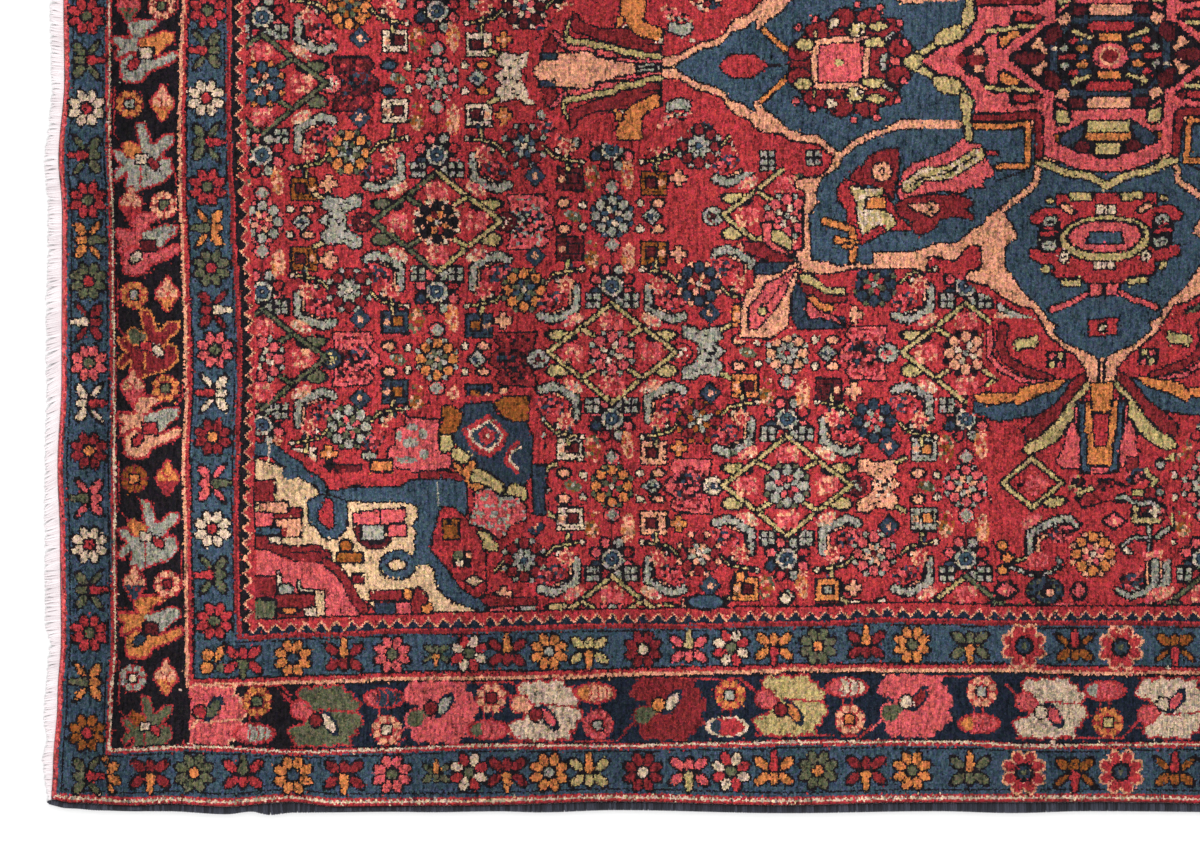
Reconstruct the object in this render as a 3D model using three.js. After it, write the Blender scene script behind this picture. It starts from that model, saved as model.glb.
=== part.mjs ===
// A hand-knotted wool rug lying flat: the knotted pile on its foundation, an overcast
// selvedge cord along each long side, and a narrow fringed strip at each short end.
// Millimetres, X along the rug, Y across it, Z up from the floor, with the origin on the
// floor under the rug's middle. The far half is the near half turned by half a turn.
import * as THREE from 'three';

// Driving sizes of the pile
const pileHalfLength = 976.5;
const pileHalfWidth = 696;
const rugHeight = 8.5;
const seam = 0.3;
const pileUnevenness = 0.6;
const sideSteps = 48;
const endSteps = 34;

// The rim of the pile, from the floor up: how far each ring stands in, and its height
const pileRim = [
  { inset: 0, height: 0 },
  { inset: 0, height: 4.6 },
  { inset: 1, height: 7.2 },
];
const pileTopInset = 3.5;

// Departure of the pile's long side from its mean line, and of its short end
const sideWave = [
  { at: -980, out: -4.9 },
  { at: -960, out: -1.4 },
  { at: -900, out: 1.4 },
  { at: -870, out: -0.3 },
  { at: -817, out: 2.3 },
  { at: -755, out: -2 },
  { at: -714, out: 2.2 },
  { at: -600, out: 1.4 },
  { at: -450, out: -2.4 },
  { at: -300, out: 1 },
  { at: -180, out: -1.6 },
  { at: 0, out: -2 },
  { at: 180, out: 1.2 },
  { at: 400, out: -1 },
  { at: 620, out: 1.4 },
  { at: 800, out: -0.6 },
  { at: 930, out: 0.6 },
  { at: 980, out: -4 },
];
const endWave = [
  { at: -692, out: 8 },
  { at: -664, out: 6.5 },
  { at: -599, out: 2.3 },
  { at: -543, out: -0.9 },
  { at: -450, out: 0 },
  { at: -385, out: 2.3 },
  { at: -300, out: -1.4 },
  { at: -143, out: -1.9 },
  { at: -97, out: 1.4 },
  { at: -22, out: -4 },
  { at: 52, out: -3.3 },
  { at: 240, out: 1 },
  { at: 400, out: -1 },
  { at: 560, out: 1.5 },
  { at: 692, out: 3 },
];

// The selvedge cord: its mean outer line, its height, and how its outside wanders
const selvedgeReach = 704;
const selvedgeHeight = 6.4;
const selvedgeStepsPerPileStep = 2;
const selvedgeMiddle = 0.45;
const selvedgeEndRows = [
  { past: 3.6, scale: 0.35 },
  { past: 2.4, scale: 0.74 },
  { past: 0, scale: 0.94 },
];
const selvedgeWave = [
  { at: -985, out: -6.6 },
  { at: -972, out: -4 },
  { at: -939, out: -1.7 },
  { at: -878, out: -0.9 },
  { at: -822, out: 1.9 },
  { at: -799, out: -0.6 },
  { at: -782, out: 2.7 },
  { at: -760, out: 0.5 },
  { at: -673, out: -0.9 },
  { at: -632, out: 0 },
  { at: -571, out: -0.9 },
  { at: -530, out: 0.2 },
  { at: -460, out: -1.9 },
  { at: -300, out: 0.9 },
  { at: -160, out: -0.9 },
  { at: -90, out: 0.9 },
  { at: -20, out: -0.9 },
  { at: 200, out: 0.8 },
  { at: 420, out: -1 },
  { at: 610, out: 1 },
  { at: 800, out: -0.8 },
  { at: 930, out: 0.6 },
  { at: 985, out: -5 },
];

// Section of the cord: how far across it from the pile's side, and how high
const selvedgeSection = [
  { across: 0, up: 0 },
  { across: 0, up: 0.62 },
  { across: 0.18, up: 0.92 },
  { across: 0.48, up: 1 },
  { across: 0.8, up: 0.86 },
  { across: 1, up: 0.46 },
  { across: 0.94, up: 0.12 },
  { across: 0.84, up: 0 },
];

// The fringed strip: a flat-woven edge and the cut warp ends in locks
const stripWidth = 4;
const stripShare = 0.36;
const stripHeight = 2.6;
const stripClearOfSelvedge = 3;
const lockCount = 150;
const lockRootWidth = 7.4;
const lockTipWidth = 5.2;
const lockTipHeight = 1.7;
const lockTopShare = 0.74;
const lockTopSetBack = 0.5;
const lockLengthSpread = 1.8;
const lockWidthSpread = 0.9;
const lockLeanSpread = 4;
const fringeWidth = [
  { at: -692, width: 4.5 },
  { at: -673, width: 8 },
  { at: -655, width: 11 },
  { at: -636, width: 8 },
  { at: -615, width: 13 },
  { at: -570, width: 12 },
  { at: -545, width: 11.5 },
  { at: -525, width: 15.4 },
  { at: -431, width: 14.6 },
  { at: -385, width: 12.4 },
  { at: -340, width: 14.2 },
  { at: -227, width: 15.4 },
  { at: -190, width: 14 },
  { at: -97, width: 13.8 },
  { at: -70, width: 12 },
  { at: 52, width: 13.2 },
  { at: 240, width: 13 },
  { at: 400, width: 14.6 },
  { at: 560, width: 13 },
  { at: 692, width: 7 },
];

// Which way the locks were combed, in degrees towards the front side
const fringeLean = [
  { at: -692, lean: 3 },
  { at: -600, lean: 14 },
  { at: -520, lean: 10 },
  { at: -360, lean: 30 },
  { at: -134, lean: 6 },
  { at: 52, lean: -8 },
  { at: 300, lean: -20 },
  { at: 692, lean: 6 },
];

const pileFinish = new THREE.MeshStandardMaterial({ color: 0x7d3038, roughness: 0.95, metalness: 0 });
const selvedgeFinish = new THREE.MeshStandardMaterial({ color: 0x33363f, roughness: 0.9, metalness: 0 });
const warpFinish = new THREE.MeshStandardMaterial({ color: 0xe6dedd, roughness: 0.9, metalness: 0 });

// A table's column read at one place along the edge, eased from row to row
function wander(table, column, at) {
  const last = table.length - 1;
  if (at <= table[0].at) return table[0][column];
  if (at >= table[last].at) return table[last][column];
  const k = table.findIndex((row) => row.at > at);
  const share = (at - table[k - 1].at) / (table[k].at - table[k - 1].at);
  const eased = (1 - Math.cos(Math.PI * share)) / 2;
  return THREE.MathUtils.lerp(table[k - 1][column], table[k][column], eased);
}

// The same scatter between -1 and 1 for the same number every time
function scatter(n) {
  const wave = Math.sin(n * 12.9898 + 4.137) * 43758.5453;
  return 2 * (wave - Math.floor(wave)) - 1;
}

// Where the pile lies for shares u along the rug and v across it, from 0 to 1
function pilePlace(u, v) {
  const along = (2 * u - 1) * pileHalfLength;
  const across = (2 * v - 1) * pileHalfWidth;
  const left = -pileHalfLength - wander(endWave, 'out', across);
  const right = pileHalfLength + wander(endWave, 'out', -across);
  const front = -pileHalfWidth - wander(sideWave, 'out', along);
  const back = pileHalfWidth + wander(sideWave, 'out', -along);
  return new THREE.Vector2(THREE.MathUtils.lerp(left, right, u), THREE.MathUtils.lerp(front, back, v));
}

// The front side and the left end as straight runs between the pile's steps
function frontLine(u) {
  const step = Math.min(Math.floor(u * sideSteps), sideSteps - 1);
  const start = pilePlace(step / sideSteps, 0);
  const end = pilePlace((step + 1) / sideSteps, 0);
  return start.lerp(end, u * sideSteps - step);
}

function leftLine(v) {
  const step = Math.min(Math.floor(v * endSteps), endSteps - 1);
  const start = pilePlace(0, step / endSteps);
  const end = pilePlace(0, (step + 1) / endSteps);
  return start.lerp(end, v * endSteps - step);
}

function pileLevel(x, y) {
  const broad = Math.sin(x / 131 + 0.7) * Math.sin(y / 97 - 0.4);
  const fine = Math.sin(x / 61 - y / 83);
  return rugHeight + (pileUnevenness * (2 * broad + fine - 3)) / 6;
}

function closedGeometry(points, faces) {
  const geometry = new THREE.BufferGeometry();
  const numbers = points.flatMap((point) => [point.x, point.y, point.z]);
  geometry.setAttribute('position', new THREE.Float32BufferAttribute(numbers, 3));
  geometry.setIndex(faces.flat());
  geometry.computeVertexNormals();
  return geometry;
}

// Faces between two rings of equal length, the second above the first
function bandFaces(lower, upper) {
  return lower.flatMap((a, k) => {
    const next = (k + 1) % lower.length;
    return [
      [a, lower[next], upper[next]],
      [a, upper[next], upper[k]],
    ];
  });
}

// The steps around the pile's edge, against the clock seen from above
function edgeSteps() {
  const steps = [];
  for (let i = 0; i < sideSteps; i += 1) steps.push([i, 0]);
  for (let j = 0; j < endSteps; j += 1) steps.push([sideSteps, j]);
  for (let i = sideSteps; i > 0; i -= 1) steps.push([i, endSteps]);
  for (let j = endSteps; j > 0; j -= 1) steps.push([0, j]);
  return steps;
}

// A grid point of the pile, moved in where it is on the edge
function pilePoint(i, j, inset, height) {
  const place = pilePlace(i / sideSteps, j / endSteps);
  if (i === 0) place.x += inset;
  if (i === sideSteps) place.x -= inset;
  if (j === 0) place.y += inset;
  if (j === endSteps) place.y -= inset;
  return new THREE.Vector3(place.x, place.y, height ?? pileLevel(place.x, place.y));
}

// The pile: a flat underside, a rounded rim and a slightly uneven top
function pileGeometry() {
  const points = [];
  const faces = [];
  const edge = edgeSteps();
  const rings = pileRim.map((ring) => edge.map(([i, j]) => {
    points.push(pilePoint(i, j, ring.inset, ring.height));
    return points.length - 1;
  }));
  const topStart = points.length;
  const topIndex = (i, j) => topStart + j * (sideSteps + 1) + i;
  for (let j = 0; j <= endSteps; j += 1) {
    for (let i = 0; i <= sideSteps; i += 1) points.push(pilePoint(i, j, pileTopInset));
  }
  rings.push(edge.map(([i, j]) => topIndex(i, j)));
  for (let k = 1; k < rings.length; k += 1) faces.push(...bandFaces(rings[k - 1], rings[k]));
  for (let j = 0; j < endSteps; j += 1) {
    for (let i = 0; i < sideSteps; i += 1) {
      faces.push([topIndex(i, j), topIndex(i + 1, j), topIndex(i + 1, j + 1)]);
      faces.push([topIndex(i, j), topIndex(i + 1, j + 1), topIndex(i, j + 1)]);
    }
  }
  const floorOutline = rings[0].map((k) => new THREE.Vector2(points[k].x, points[k].y));
  const floorFaces = THREE.ShapeUtils.triangulateShape(floorOutline, []);
  faces.push(...floorFaces.map(([a, b, c]) => [rings[0][a], rings[0][c], rings[0][b]]));
  return closedGeometry(points, faces);
}

// One section of the selvedge cord, drawn in by a scale where the cord ends
function selvedgeRing({ x, y, scale }) {
  const width = selvedgeReach + wander(selvedgeWave, 'out', x) + y - seam;
  return selvedgeSection.map(({ across, up }) => new THREE.Vector3(
    x,
    y - seam - width * (selvedgeMiddle + (across - selvedgeMiddle) * scale),
    up * selvedgeHeight * scale,
  ));
}

// The cord's stations: the pile's side, and the short rounded runs past its corners
function selvedgeStations() {
  const steps = sideSteps * selvedgeStepsPerPileStep;
  const firstCorner = frontLine(0);
  const lastCorner = frontLine(1);
  const stations = selvedgeEndRows.map(({ past, scale }) => (
    { x: firstCorner.x - past, y: firstCorner.y, scale }
  ));
  for (let k = 1; k < steps; k += 1) {
    const { x, y } = frontLine(k / steps);
    stations.push({ x, y, scale: 1 });
  }
  const ending = [...selvedgeEndRows].reverse();
  stations.push(...ending.map(({ past, scale }) => ({ x: lastCorner.x + past, y: lastCorner.y, scale })));
  return stations;
}

// The front selvedge: a cord laid against the pile's side, flat on the floor
function selvedgeGeometry() {
  const points = [];
  const faces = [];
  const rings = selvedgeStations().map((station) => selvedgeRing(station).map((point) => {
    points.push(point);
    return points.length - 1;
  }));
  for (let k = 1; k < rings.length; k += 1) faces.push(...bandFaces(rings[k - 1], rings[k]));
  const first = rings[0];
  const last = rings[rings.length - 1];
  for (let k = 2; k < first.length; k += 1) {
    faces.push([first[0], first[k], first[k - 1]]);
    faces.push([last[0], last[k - 1], last[k]]);
  }
  return closedGeometry(points, faces);
}

// The four corners of one lock, on the floor and along its narrower top
function lockCorners(k, rootY) {
  const pileX = leftLine((rootY + pileHalfWidth) / (2 * pileHalfWidth)).x;
  const shortening = ((1 + scatter(k)) / 2) * lockLengthSpread;
  const width = wander(fringeWidth, 'width', rootY) - shortening;
  const rootX = pileX - seam - Math.min(stripWidth, stripShare * width);
  const tipX = pileX - width;
  const lean = wander(fringeLean, 'lean', rootY) + lockLeanSpread * scatter(k + 300);
  const tipY = rootY - Math.tan(THREE.MathUtils.degToRad(lean)) * (rootX - tipX);
  const rootHalf = (lockRootWidth + lockWidthSpread * scatter(k + 600)) / 2;
  const tipHalf = lockTipWidth / 2;
  const corners = (share, setBack, rootHeight, tipHeight) => [
    new THREE.Vector3(rootX, rootY + rootHalf * share, rootHeight),
    new THREE.Vector3(tipX + setBack, tipY + tipHalf * share, tipHeight),
    new THREE.Vector3(tipX + setBack, tipY - tipHalf * share, tipHeight),
    new THREE.Vector3(rootX, rootY - rootHalf * share, rootHeight),
  ];
  return {
    floor: corners(1, 0, 0, 0),
    top: corners(lockTopShare, lockTopSetBack, stripHeight, lockTipHeight),
  };
}

// The left fringe: one strip along the pile's end, its outer side cut into locks
function fringeGeometry() {
  const floor = [];
  const top = [];
  const frontY = leftLine(0).y + stripClearOfSelvedge;
  const backY = leftLine(1).y - stripClearOfSelvedge;
  for (let k = 0; k <= endSteps; k += 1) {
    const { x, y } = leftLine(k / endSteps);
    const onStrip = THREE.MathUtils.clamp(y, frontY, backY);
    floor.push(new THREE.Vector3(x - seam, onStrip, 0));
    top.push(new THREE.Vector3(x - seam, onStrip, stripHeight));
  }
  const pitch = (backY - frontY) / lockCount;
  for (let k = 0; k < lockCount; k += 1) {
    const lock = lockCorners(k, backY - (k + 0.5) * pitch);
    floor.push(...lock.floor);
    top.push(...lock.top);
  }
  const count = floor.length;
  const lower = floor.map((_, k) => k);
  const upper = lower.map((k) => k + count);
  const outline = floor.map(({ x, y }) => new THREE.Vector2(x, y));
  const capFaces = THREE.ShapeUtils.triangulateShape(outline, []);
  const faces = bandFaces(lower, upper);
  faces.push(...capFaces.map(([a, b, c]) => [lower[a], lower[c], lower[b]]));
  faces.push(...capFaces.map(([a, b, c]) => [upper[a], upper[b], upper[c]]));
  return closedGeometry([...floor, ...top], faces);
}

// A named mesh, turned by half a turn where it is the far one of a pair
function piece(name, geometry, finish, halfTurns = 0) {
  const mesh = new THREE.Mesh(geometry, finish);
  mesh.name = name;
  mesh.rotation.z = Math.PI * halfTurns;
  return mesh;
}

const group = new THREE.Group();
group.add(piece('pile', pileGeometry(), pileFinish));
group.add(piece('selvedge_front', selvedgeGeometry(), selvedgeFinish));
group.add(piece('selvedge_back', selvedgeGeometry(), selvedgeFinish, 1));
group.add(piece('fringe_left', fringeGeometry(), warpFinish));
group.add(piece('fringe_right', fringeGeometry(), warpFinish, 1));

export default group;
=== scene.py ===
# A hand-knotted wool rug lying flat, seen from straight above: Blender 4.5, metres, +Z up
import functools
import math
import bpy
import numpy as np
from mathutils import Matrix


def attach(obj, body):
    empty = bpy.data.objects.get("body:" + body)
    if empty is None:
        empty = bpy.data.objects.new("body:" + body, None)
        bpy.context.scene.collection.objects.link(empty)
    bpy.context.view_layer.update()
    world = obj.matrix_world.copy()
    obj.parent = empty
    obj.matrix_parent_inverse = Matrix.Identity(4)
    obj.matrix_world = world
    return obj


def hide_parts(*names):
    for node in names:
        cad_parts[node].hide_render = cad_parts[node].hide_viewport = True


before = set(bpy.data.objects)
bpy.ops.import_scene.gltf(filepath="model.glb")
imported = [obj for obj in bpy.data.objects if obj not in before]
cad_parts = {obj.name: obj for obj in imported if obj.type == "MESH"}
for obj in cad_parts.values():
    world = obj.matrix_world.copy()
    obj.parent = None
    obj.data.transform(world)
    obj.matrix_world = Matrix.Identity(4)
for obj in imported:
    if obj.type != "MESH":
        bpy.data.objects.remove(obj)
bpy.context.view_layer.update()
mm = 0.001

# The photograph: its size, millimetres to a pixel, and the pixel where the rug's middle lies
photo = {"wide": 1200, "high": 857, "pixel": 0.93, "middleX": 1110, "middleY": 56}

# The pile as the solids have it, in millimetres, and its knots
rug = {
    "halfLength": 976.5,
    "halfWidth": 696,
    "height": 8.5,
    "seam": 0.3,
    "unevenness": 0.6,
    "rim": ((3.5, 8.2), (1.7, 7.7), (0.6, 6.4), (0, 4.4), (0, 0)),  # rows of way in, height
    "rimWidth": 8,  # way in from which the pile has its whole height
    "knotColumns": 1220,
    "knotRows": 870,
    "block": 5,  # knots to one face, each way
}

# Departure of the long side and of the short end from their mean lines: place along, way out
sideWave = (
    (-980, -4.9), (-960, -1.4), (-900, 1.4), (-870, -0.3), (-817, 2.3), (-755, -2),
    (-714, 2.2), (-600, 1.4), (-450, -2.4), (-300, 1), (-180, -1.6), (0, -2), (180, 1.2),
    (400, -1), (620, 1.4), (800, -0.6), (930, 0.6), (980, -4),
)
endWave = (
    (-692, 8), (-664, 6.5), (-599, 2.3), (-543, -0.9), (-450, 0), (-385, 2.3), (-300, -1.4),
    (-143, -1.9), (-97, 1.4), (-22, -4), (52, -3.3), (240, 1), (400, -1), (560, 1.5), (692, 3),
)


def wander(table, at):
    # a table read at one place or many, eased from row to row
    table = np.array(table, float)
    at = np.clip(np.asarray(at, float), table[0, 0], table[-1, 0])
    k = np.clip(np.searchsorted(table[:, 0], at, side="right"), 1, len(table) - 1)
    share = (at - table[k - 1, 0]) / (table[k, 0] - table[k - 1, 0])
    eased = (1 - np.cos(np.pi * share)) / 2
    return table[k - 1, 1] + (table[k, 1] - table[k - 1, 1]) * eased


def pilePlace(u, v):
    # where the pile lies, in millimetres, for shares of its length and of its width
    along = (2 * u - 1) * rug["halfLength"]
    across = (2 * v - 1) * rug["halfWidth"]
    left = -rug["halfLength"] - wander(endWave, across)
    right = rug["halfLength"] + wander(endWave, -across)
    front = -rug["halfWidth"] - wander(sideWave, along)
    back = rug["halfWidth"] + wander(sideWave, -along)
    return left + (right - left) * u, front + (back - front) * v


# Yarns as they look in plain light (sRGB, 0 to 255)
yarns = {
    "ink": (29, 25, 30),
    "crimson": (170, 54, 58),
    "madder": (128, 41, 45),
    "burgundy": (90, 32, 37),
    "rose": (207, 89, 91),
    "salmon": (224, 153, 121),
    "ivory": (213, 184, 158),
    "camel": (216, 176, 137),
    "steel": (60, 78, 93),
    "slate": (48, 60, 74),
    "navy": (30, 38, 52),
    "gold": (187, 162, 110),
    "moss": (93, 94, 71),
    "silver": (156, 151, 137),
    "orange": (207, 124, 71),
    "rust": (146, 82, 38),
}
yarnNames = list(yarns)
yarnLimit = 16  # yarns that one digit of packed knots can tell apart
bare = 255  # a knot that a layer leaves as it is

columns, rows = rug["knotColumns"], rug["knotRows"]
shareX, shareY = (np.arange(columns) + 0.5) / columns, (np.arange(rows) + 0.5) / rows
knotX, knotY = pilePlace(*np.meshgrid(shareX, shareY))
knotX = photo["middleX"] + knotX / photo["pixel"]
knotY = photo["middleY"] - knotY / photo["pixel"]
knotWide = 2 * rug["halfLength"] / columns / photo["pixel"]
knotHigh = 2 * rug["halfWidth"] / rows / photo["pixel"]
lastX, lastY = 2 * photo["middleX"], 2 * photo["middleY"]  # a place and its mirror image add up to these


def freshLayer():
    return np.full((rows, columns), bare, np.uint8)


def paint(chart, where, yarn):
    chart[where] = yarnNames.index(yarn)


def merge(chart, *layers):
    # what each layer has, over what is there
    for layer in layers:
        chart[layer != bare] = layer[layer != bare]


def lattice(x, y):
    # the column and row of knots, with their fractions, at a place in the photograph's pixels
    return columns / 2 + (x - photo["middleX"]) / knotWide, rows / 2 - (y - photo["middleY"]) / knotHigh


class Patch:
    # a window of a layer round one place, with x to the right and y down in photo pixels

    def __init__(self, layer, x, y, reach, turn=0, flip=(1, 1), scale=1):
        reachX, reachY = reach if isinstance(reach, tuple) else (reach, reach)
        spare = 8
        col, row = lattice(x, y)
        wide, high = reachX / knotWide + spare, reachY / knotHigh + spare
        window = (slice(max(int(row - high), 0), max(int(row + high), 0)),
                  slice(max(int(col - wide), 0), max(int(col + wide), 0)))
        self.layer = layer[window]
        dx, dy = knotX[window] - x, knotY[window] - y
        c, s = math.cos(math.radians(turn)), math.sin(math.radians(turn))
        self.x = (dx * c + dy * s) * flip[0] / scale
        self.y = (dy * c - dx * s) * flip[1] / scale

    def lay(self, distance, *bands):
        # each band is a yarn and how far it reaches past the shape's line
        for yarn, past in bands:
            paint(self.layer, distance < past, yarn)

    def ink(self, distance, yarn, past=0.2):
        # a yarn inside the small motifs' usual ink outline
        self.lay(distance, ("ink", 2.2), (yarn, past))

    def dust(self, distance, mixed, seed):
        # small groups of knots of several yarns, scattered inside the shape's line
        row, col = np.indices(self.x.shape)
        row = row // 2
        pick = np.random.default_rng(seed).integers(len(mixed), size=self.x.shape)
        numbers = np.array([yarnNames.index(yarn) for yarn in mixed])
        chosen = numbers[pick[row, (col + row % 2) // 2]]
        self.layer[distance < 0] = chosen[distance < 0]

    def oval(self, x, y, rx, ry, turn=0):
        c, s = math.cos(math.radians(turn)), math.sin(math.radians(turn))
        dx, dy = self.x - x, self.y - y
        far = np.hypot((dx * c + dy * s) / rx, (dy * c - dx * s) / ry)
        return (far - 1) * min(rx, ry)

    def box(self, x, y, rx, ry):
        return np.maximum(abs(self.x - x) - rx, abs(self.y - y) - ry)

    def diamond(self, x, y, rx, ry):
        return (abs(self.x - x) / rx + abs(self.y - y) / ry - 1) * rx * ry / math.hypot(rx, ry)

    def path(self, width, *points):
        # a line through points given as x, y, x, y
        return self.taper(width, width, *points)

    def taper(self, width, tip, *points):
        # the same, as wide as width and narrowing to tip
        points = list(zip(points[::2], points[1::2]))
        far = np.full(self.x.shape, 1e6)
        for k, ((ax, ay), (bx, by)) in enumerate(zip(points, points[1:])):
            ex, ey = bx - ax, by - ay
            share = ((self.x - ax) * ex + (self.y - ay) * ey) / max(ex * ex + ey * ey, 1e-9)
            share = np.clip(share, 0, 1)
            along = (k + share) / (len(points) - 1)
            gap = np.hypot(self.x - ax - ex * share, self.y - ay - ey * share)
            far = np.minimum(far, gap - (width + (tip - width) * along) / 2)
        return far

    def shape(self, *numbers):
        # a closed outline through points given as x, y, x, y
        points = list(zip(numbers[::2], numbers[1::2]))
        inside = np.zeros(self.x.shape, bool)
        for (ax, ay), (bx, by) in zip(points, points[1:] + points[:1]):
            if ay != by:
                crosses = (ay > self.y) != (by > self.y)
                inside ^= crosses & (self.x < (bx - ax) * (self.y - ay) / (by - ay) + ax)
        far = self.path(0, *numbers, *numbers[:2])
        return np.where(inside, -far, far)

    def petals(self, count, at, rx, ry, start=0, x=0, y=0):
        # petals round a place, rx along their length and ry across
        turns = [math.radians(start + 360 * k / count) for k in range(count)]
        return [self.oval(x + at * math.cos(turn), y + at * math.sin(turn), rx, ry, math.degrees(turn))
                for turn in turns]


def nearest(*distances):
    return functools.reduce(np.minimum, distances)


def triangle(along, pitch):
    # a wave between 0 and 1 with straight sides
    return abs(((along / pitch) % 1) * 2 - 1)


# Where three lines of the border run in the photograph: place along, place across
borderLines = {
    "outer": (
        ((-700, 110), (-520, 113), (-330, 110), (-150, 112), (0, 109), (130, 109), (220, 112),
         (410, 114), (560, 114.5), (650, 114.5), (700, 110.5), (755, 109)),
        ((105, 750.5), (190, 747), (310, 752), (370, 750), (490, 745.5), (610, 746), (730, 744),
         (800, 742), (960, 742.5), (1030, 746), (1200, 744), (1500, 747), (1800, 743), (2110, 746)),
    ),
    "inner": (
        ((-620, 184), (-440, 181), (-260, 185), (-100, 182), (0, 184), (60, 182), (110, 180.5),
         (190, 181), (260, 184), (350, 187), (400, 187), (450, 184.5), (520, 186), (620, 188), (690, 188)),
        ((184, 684.5), (250, 683), (310, 681), (430, 677), (550, 676), (670, 672.5), (740, 671),
         (800, 669), (1000, 669), (1090, 672), (1200, 672), (1500, 669), (1800, 673), (2040, 671)),
    ),
    "field": (
        ((-560, 231), (-380, 234), (-200, 230), (0, 229.5), (110, 229), (170, 231), (220, 233.5),
         (300, 238), (350, 240.5), (420, 238.5), (500, 236.5), (580, 237.5), (645, 239.5)),
        ((238, 637), (330, 634), (400, 631), (460, 630), (520, 628), (600, 626), (700, 625.5),
         (760, 623.5), (820, 623.5), (880, 619.5), (940, 620.5), (1000, 622.5), (1060, 623),
         (1200, 623), (1500, 620), (1800, 624), (1990, 622)),
    ),
}

# Border stripes, from outside in: yarn and where it ends, in pixels inside their line
stripes = {
    "outer": (("steel", -6.4), ("ink", -5), ("steel", -3.4), ("crimson", -0.8), ("ivory", 1.2),
              ("crimson", 2.2), ("ink", 3.2)),
    "inner": (("ink", -2.6), ("salmon", 0.8), ("crimson", 4.6), ("ink", 6.6), ("steel", 8.4)),
    "field": (("steel", -5.4), ("ink", -4), ("steel", -3), ("madder", 0), ("crimson", 2)),
}
# Saw teeth of the ends and of the sides: yarn behind them, way to their tips and their height
sawteeth = (("navy", 2.8, 8.6), ("ink", 5, 8))
sawtooth = {"start": 2, "pitch": 15.3, "edging": 2, "bandEnd": 16.6, "lineEnd": 18.4}
brownUpTo = 322  # pixel along the sides up to which the main border's ground is brown
unsteady = {"endEdge": 0.5, "sideEdge": 0.8, "stripes": 0.3}  # how far the stripes' lines stray, in pixels
# Edge of the pile, from outside in, for the ends and for the long sides
endEdge = (("rose", 4), ("crimson", 5.4), ("steel", 9), ("ink", 10.4))
sideEdge = (("madder", 1), ("crimson", 3.2), ("ivory", 6), ("crimson", 8.6), ("steel", 11.8), ("ink", 13.4))


def endLine(line, y):
    return wander(borderLines[line][0], y)


def sideLine(line, x):
    return wander(borderLines[line][1], x)


def fromSides(line):
    # how far inside a line each knot lies, from the nearest of the four sides
    farX, farY = lastX - knotX, lastY - knotY
    ends = nearest(knotX - endLine(line, knotY), farX - endLine(line, farY))
    sides = nearest(sideLine(line, knotX) - knotY, sideLine(line, farX) - farY)
    return nearest(ends, sides), ends < sides


def layStripes(chart, distance, stripes, where=True):
    start = -np.inf
    for yarn, end in stripes:
        paint(chart, (distance >= start) & (distance < end) & where, yarn)
        start = end


def weaveGround():
    # the plain ground of field and borders, with every stripe
    chart = np.full((rows, columns), yarnNames.index("steel"), np.uint8)
    fromEnd = nearest(shareX, 1 - shareX)[None, :] * columns * knotWide
    fromSide = nearest(shareY, 1 - shareY)[:, None] * rows * knotHigh
    edge, byEnd = nearest(fromEnd, fromSide), fromEnd < fromSide
    along = np.where(byEnd, knotY, knotX)
    rough = np.sin(along * 1.9) * 0.5 + np.sin(along * 0.83 + 1) * 0.5
    layStripes(chart, edge + rough * unsteady["endEdge"], endEdge, byEnd)
    layStripes(chart, edge + rough * unsteady["sideEdge"], sideEdge, ~byEnd)
    rough = rough * unsteady["stripes"]
    outer, byEnd = fromSides("outer")
    nearEnd = nearest(knotX, lastX - knotX) < brownUpTo
    paint(chart, outer > 0, "navy")
    paint(chart, (outer > 0) & (byEnd | nearEnd), "ink")
    layStripes(chart, outer + rough, stripes["outer"], outer > -8)
    inner, _ = fromSides("inner")
    paint(chart, inner > 0, "steel")
    layStripes(chart, inner + rough, stripes["inner"], inner > -5)
    field, byEnd = fromSides("field")
    layStripes(chart, field + rough, stripes["field"], field > -6)
    along = np.where(byEnd, knotY, knotX)
    for where, (behind, foot, height) in zip((~byEnd, byEnd), sawteeth):
        tooth = foot + height * triangle(along, sawtooth["pitch"])
        paint(chart, (field > sawtooth["start"]) & where, behind)
        paint(chart, (field > tooth) & where, "salmon")
        paint(chart, (field > tooth + sawtooth["edging"]) & where, "crimson")
    paint(chart, (field > sawtooth["bandEnd"]) & (field < sawtooth["lineEnd"]) & ~byEnd, "ink")
    return chart


def rosette(layer, x, y, petal, heart, size, second=None):
    # a flower of eight parted petals round a small heart
    p = Patch(layer, x, y, size + 6)
    leaves = p.petals(8, size * 0.69, size * 0.31, size * 0.22, 22.5)
    p.lay(nearest(*leaves), ("ink", 2))
    for k, leaf in enumerate(leaves):
        p.lay(leaf, (second if second and k % 2 else petal, 0.1))
    p.lay(p.oval(0, 0, size * 0.25, size * 0.25), ("ink", 1.2), (heart, 0.2))


def fullRosette(layer, x, y, petal, heart, rim, size=22.5):
    # joined petals inside a pale outline, round a dark ring
    p = Patch(layer, x, y, size + 6)
    leaves = p.petals(8, size * 0.64, size * 0.36, size * 0.27, 22.5)
    p.lay(nearest(*leaves, p.oval(0, 0, size * 0.6, size * 0.6)), (rim, 1))
    for leaf in leaves:
        p.lay(leaf, (petal, -1))
    p.lay(p.oval(0, 0, size * 0.4, size * 0.4), ("ink", 1))
    p.lay(p.oval(0, 0, size * 0.3, size * 0.3), ("slate", 0))
    p.lay(p.oval(0, 0, size * 0.1, size * 0.1), (heart, 0.4))


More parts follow.
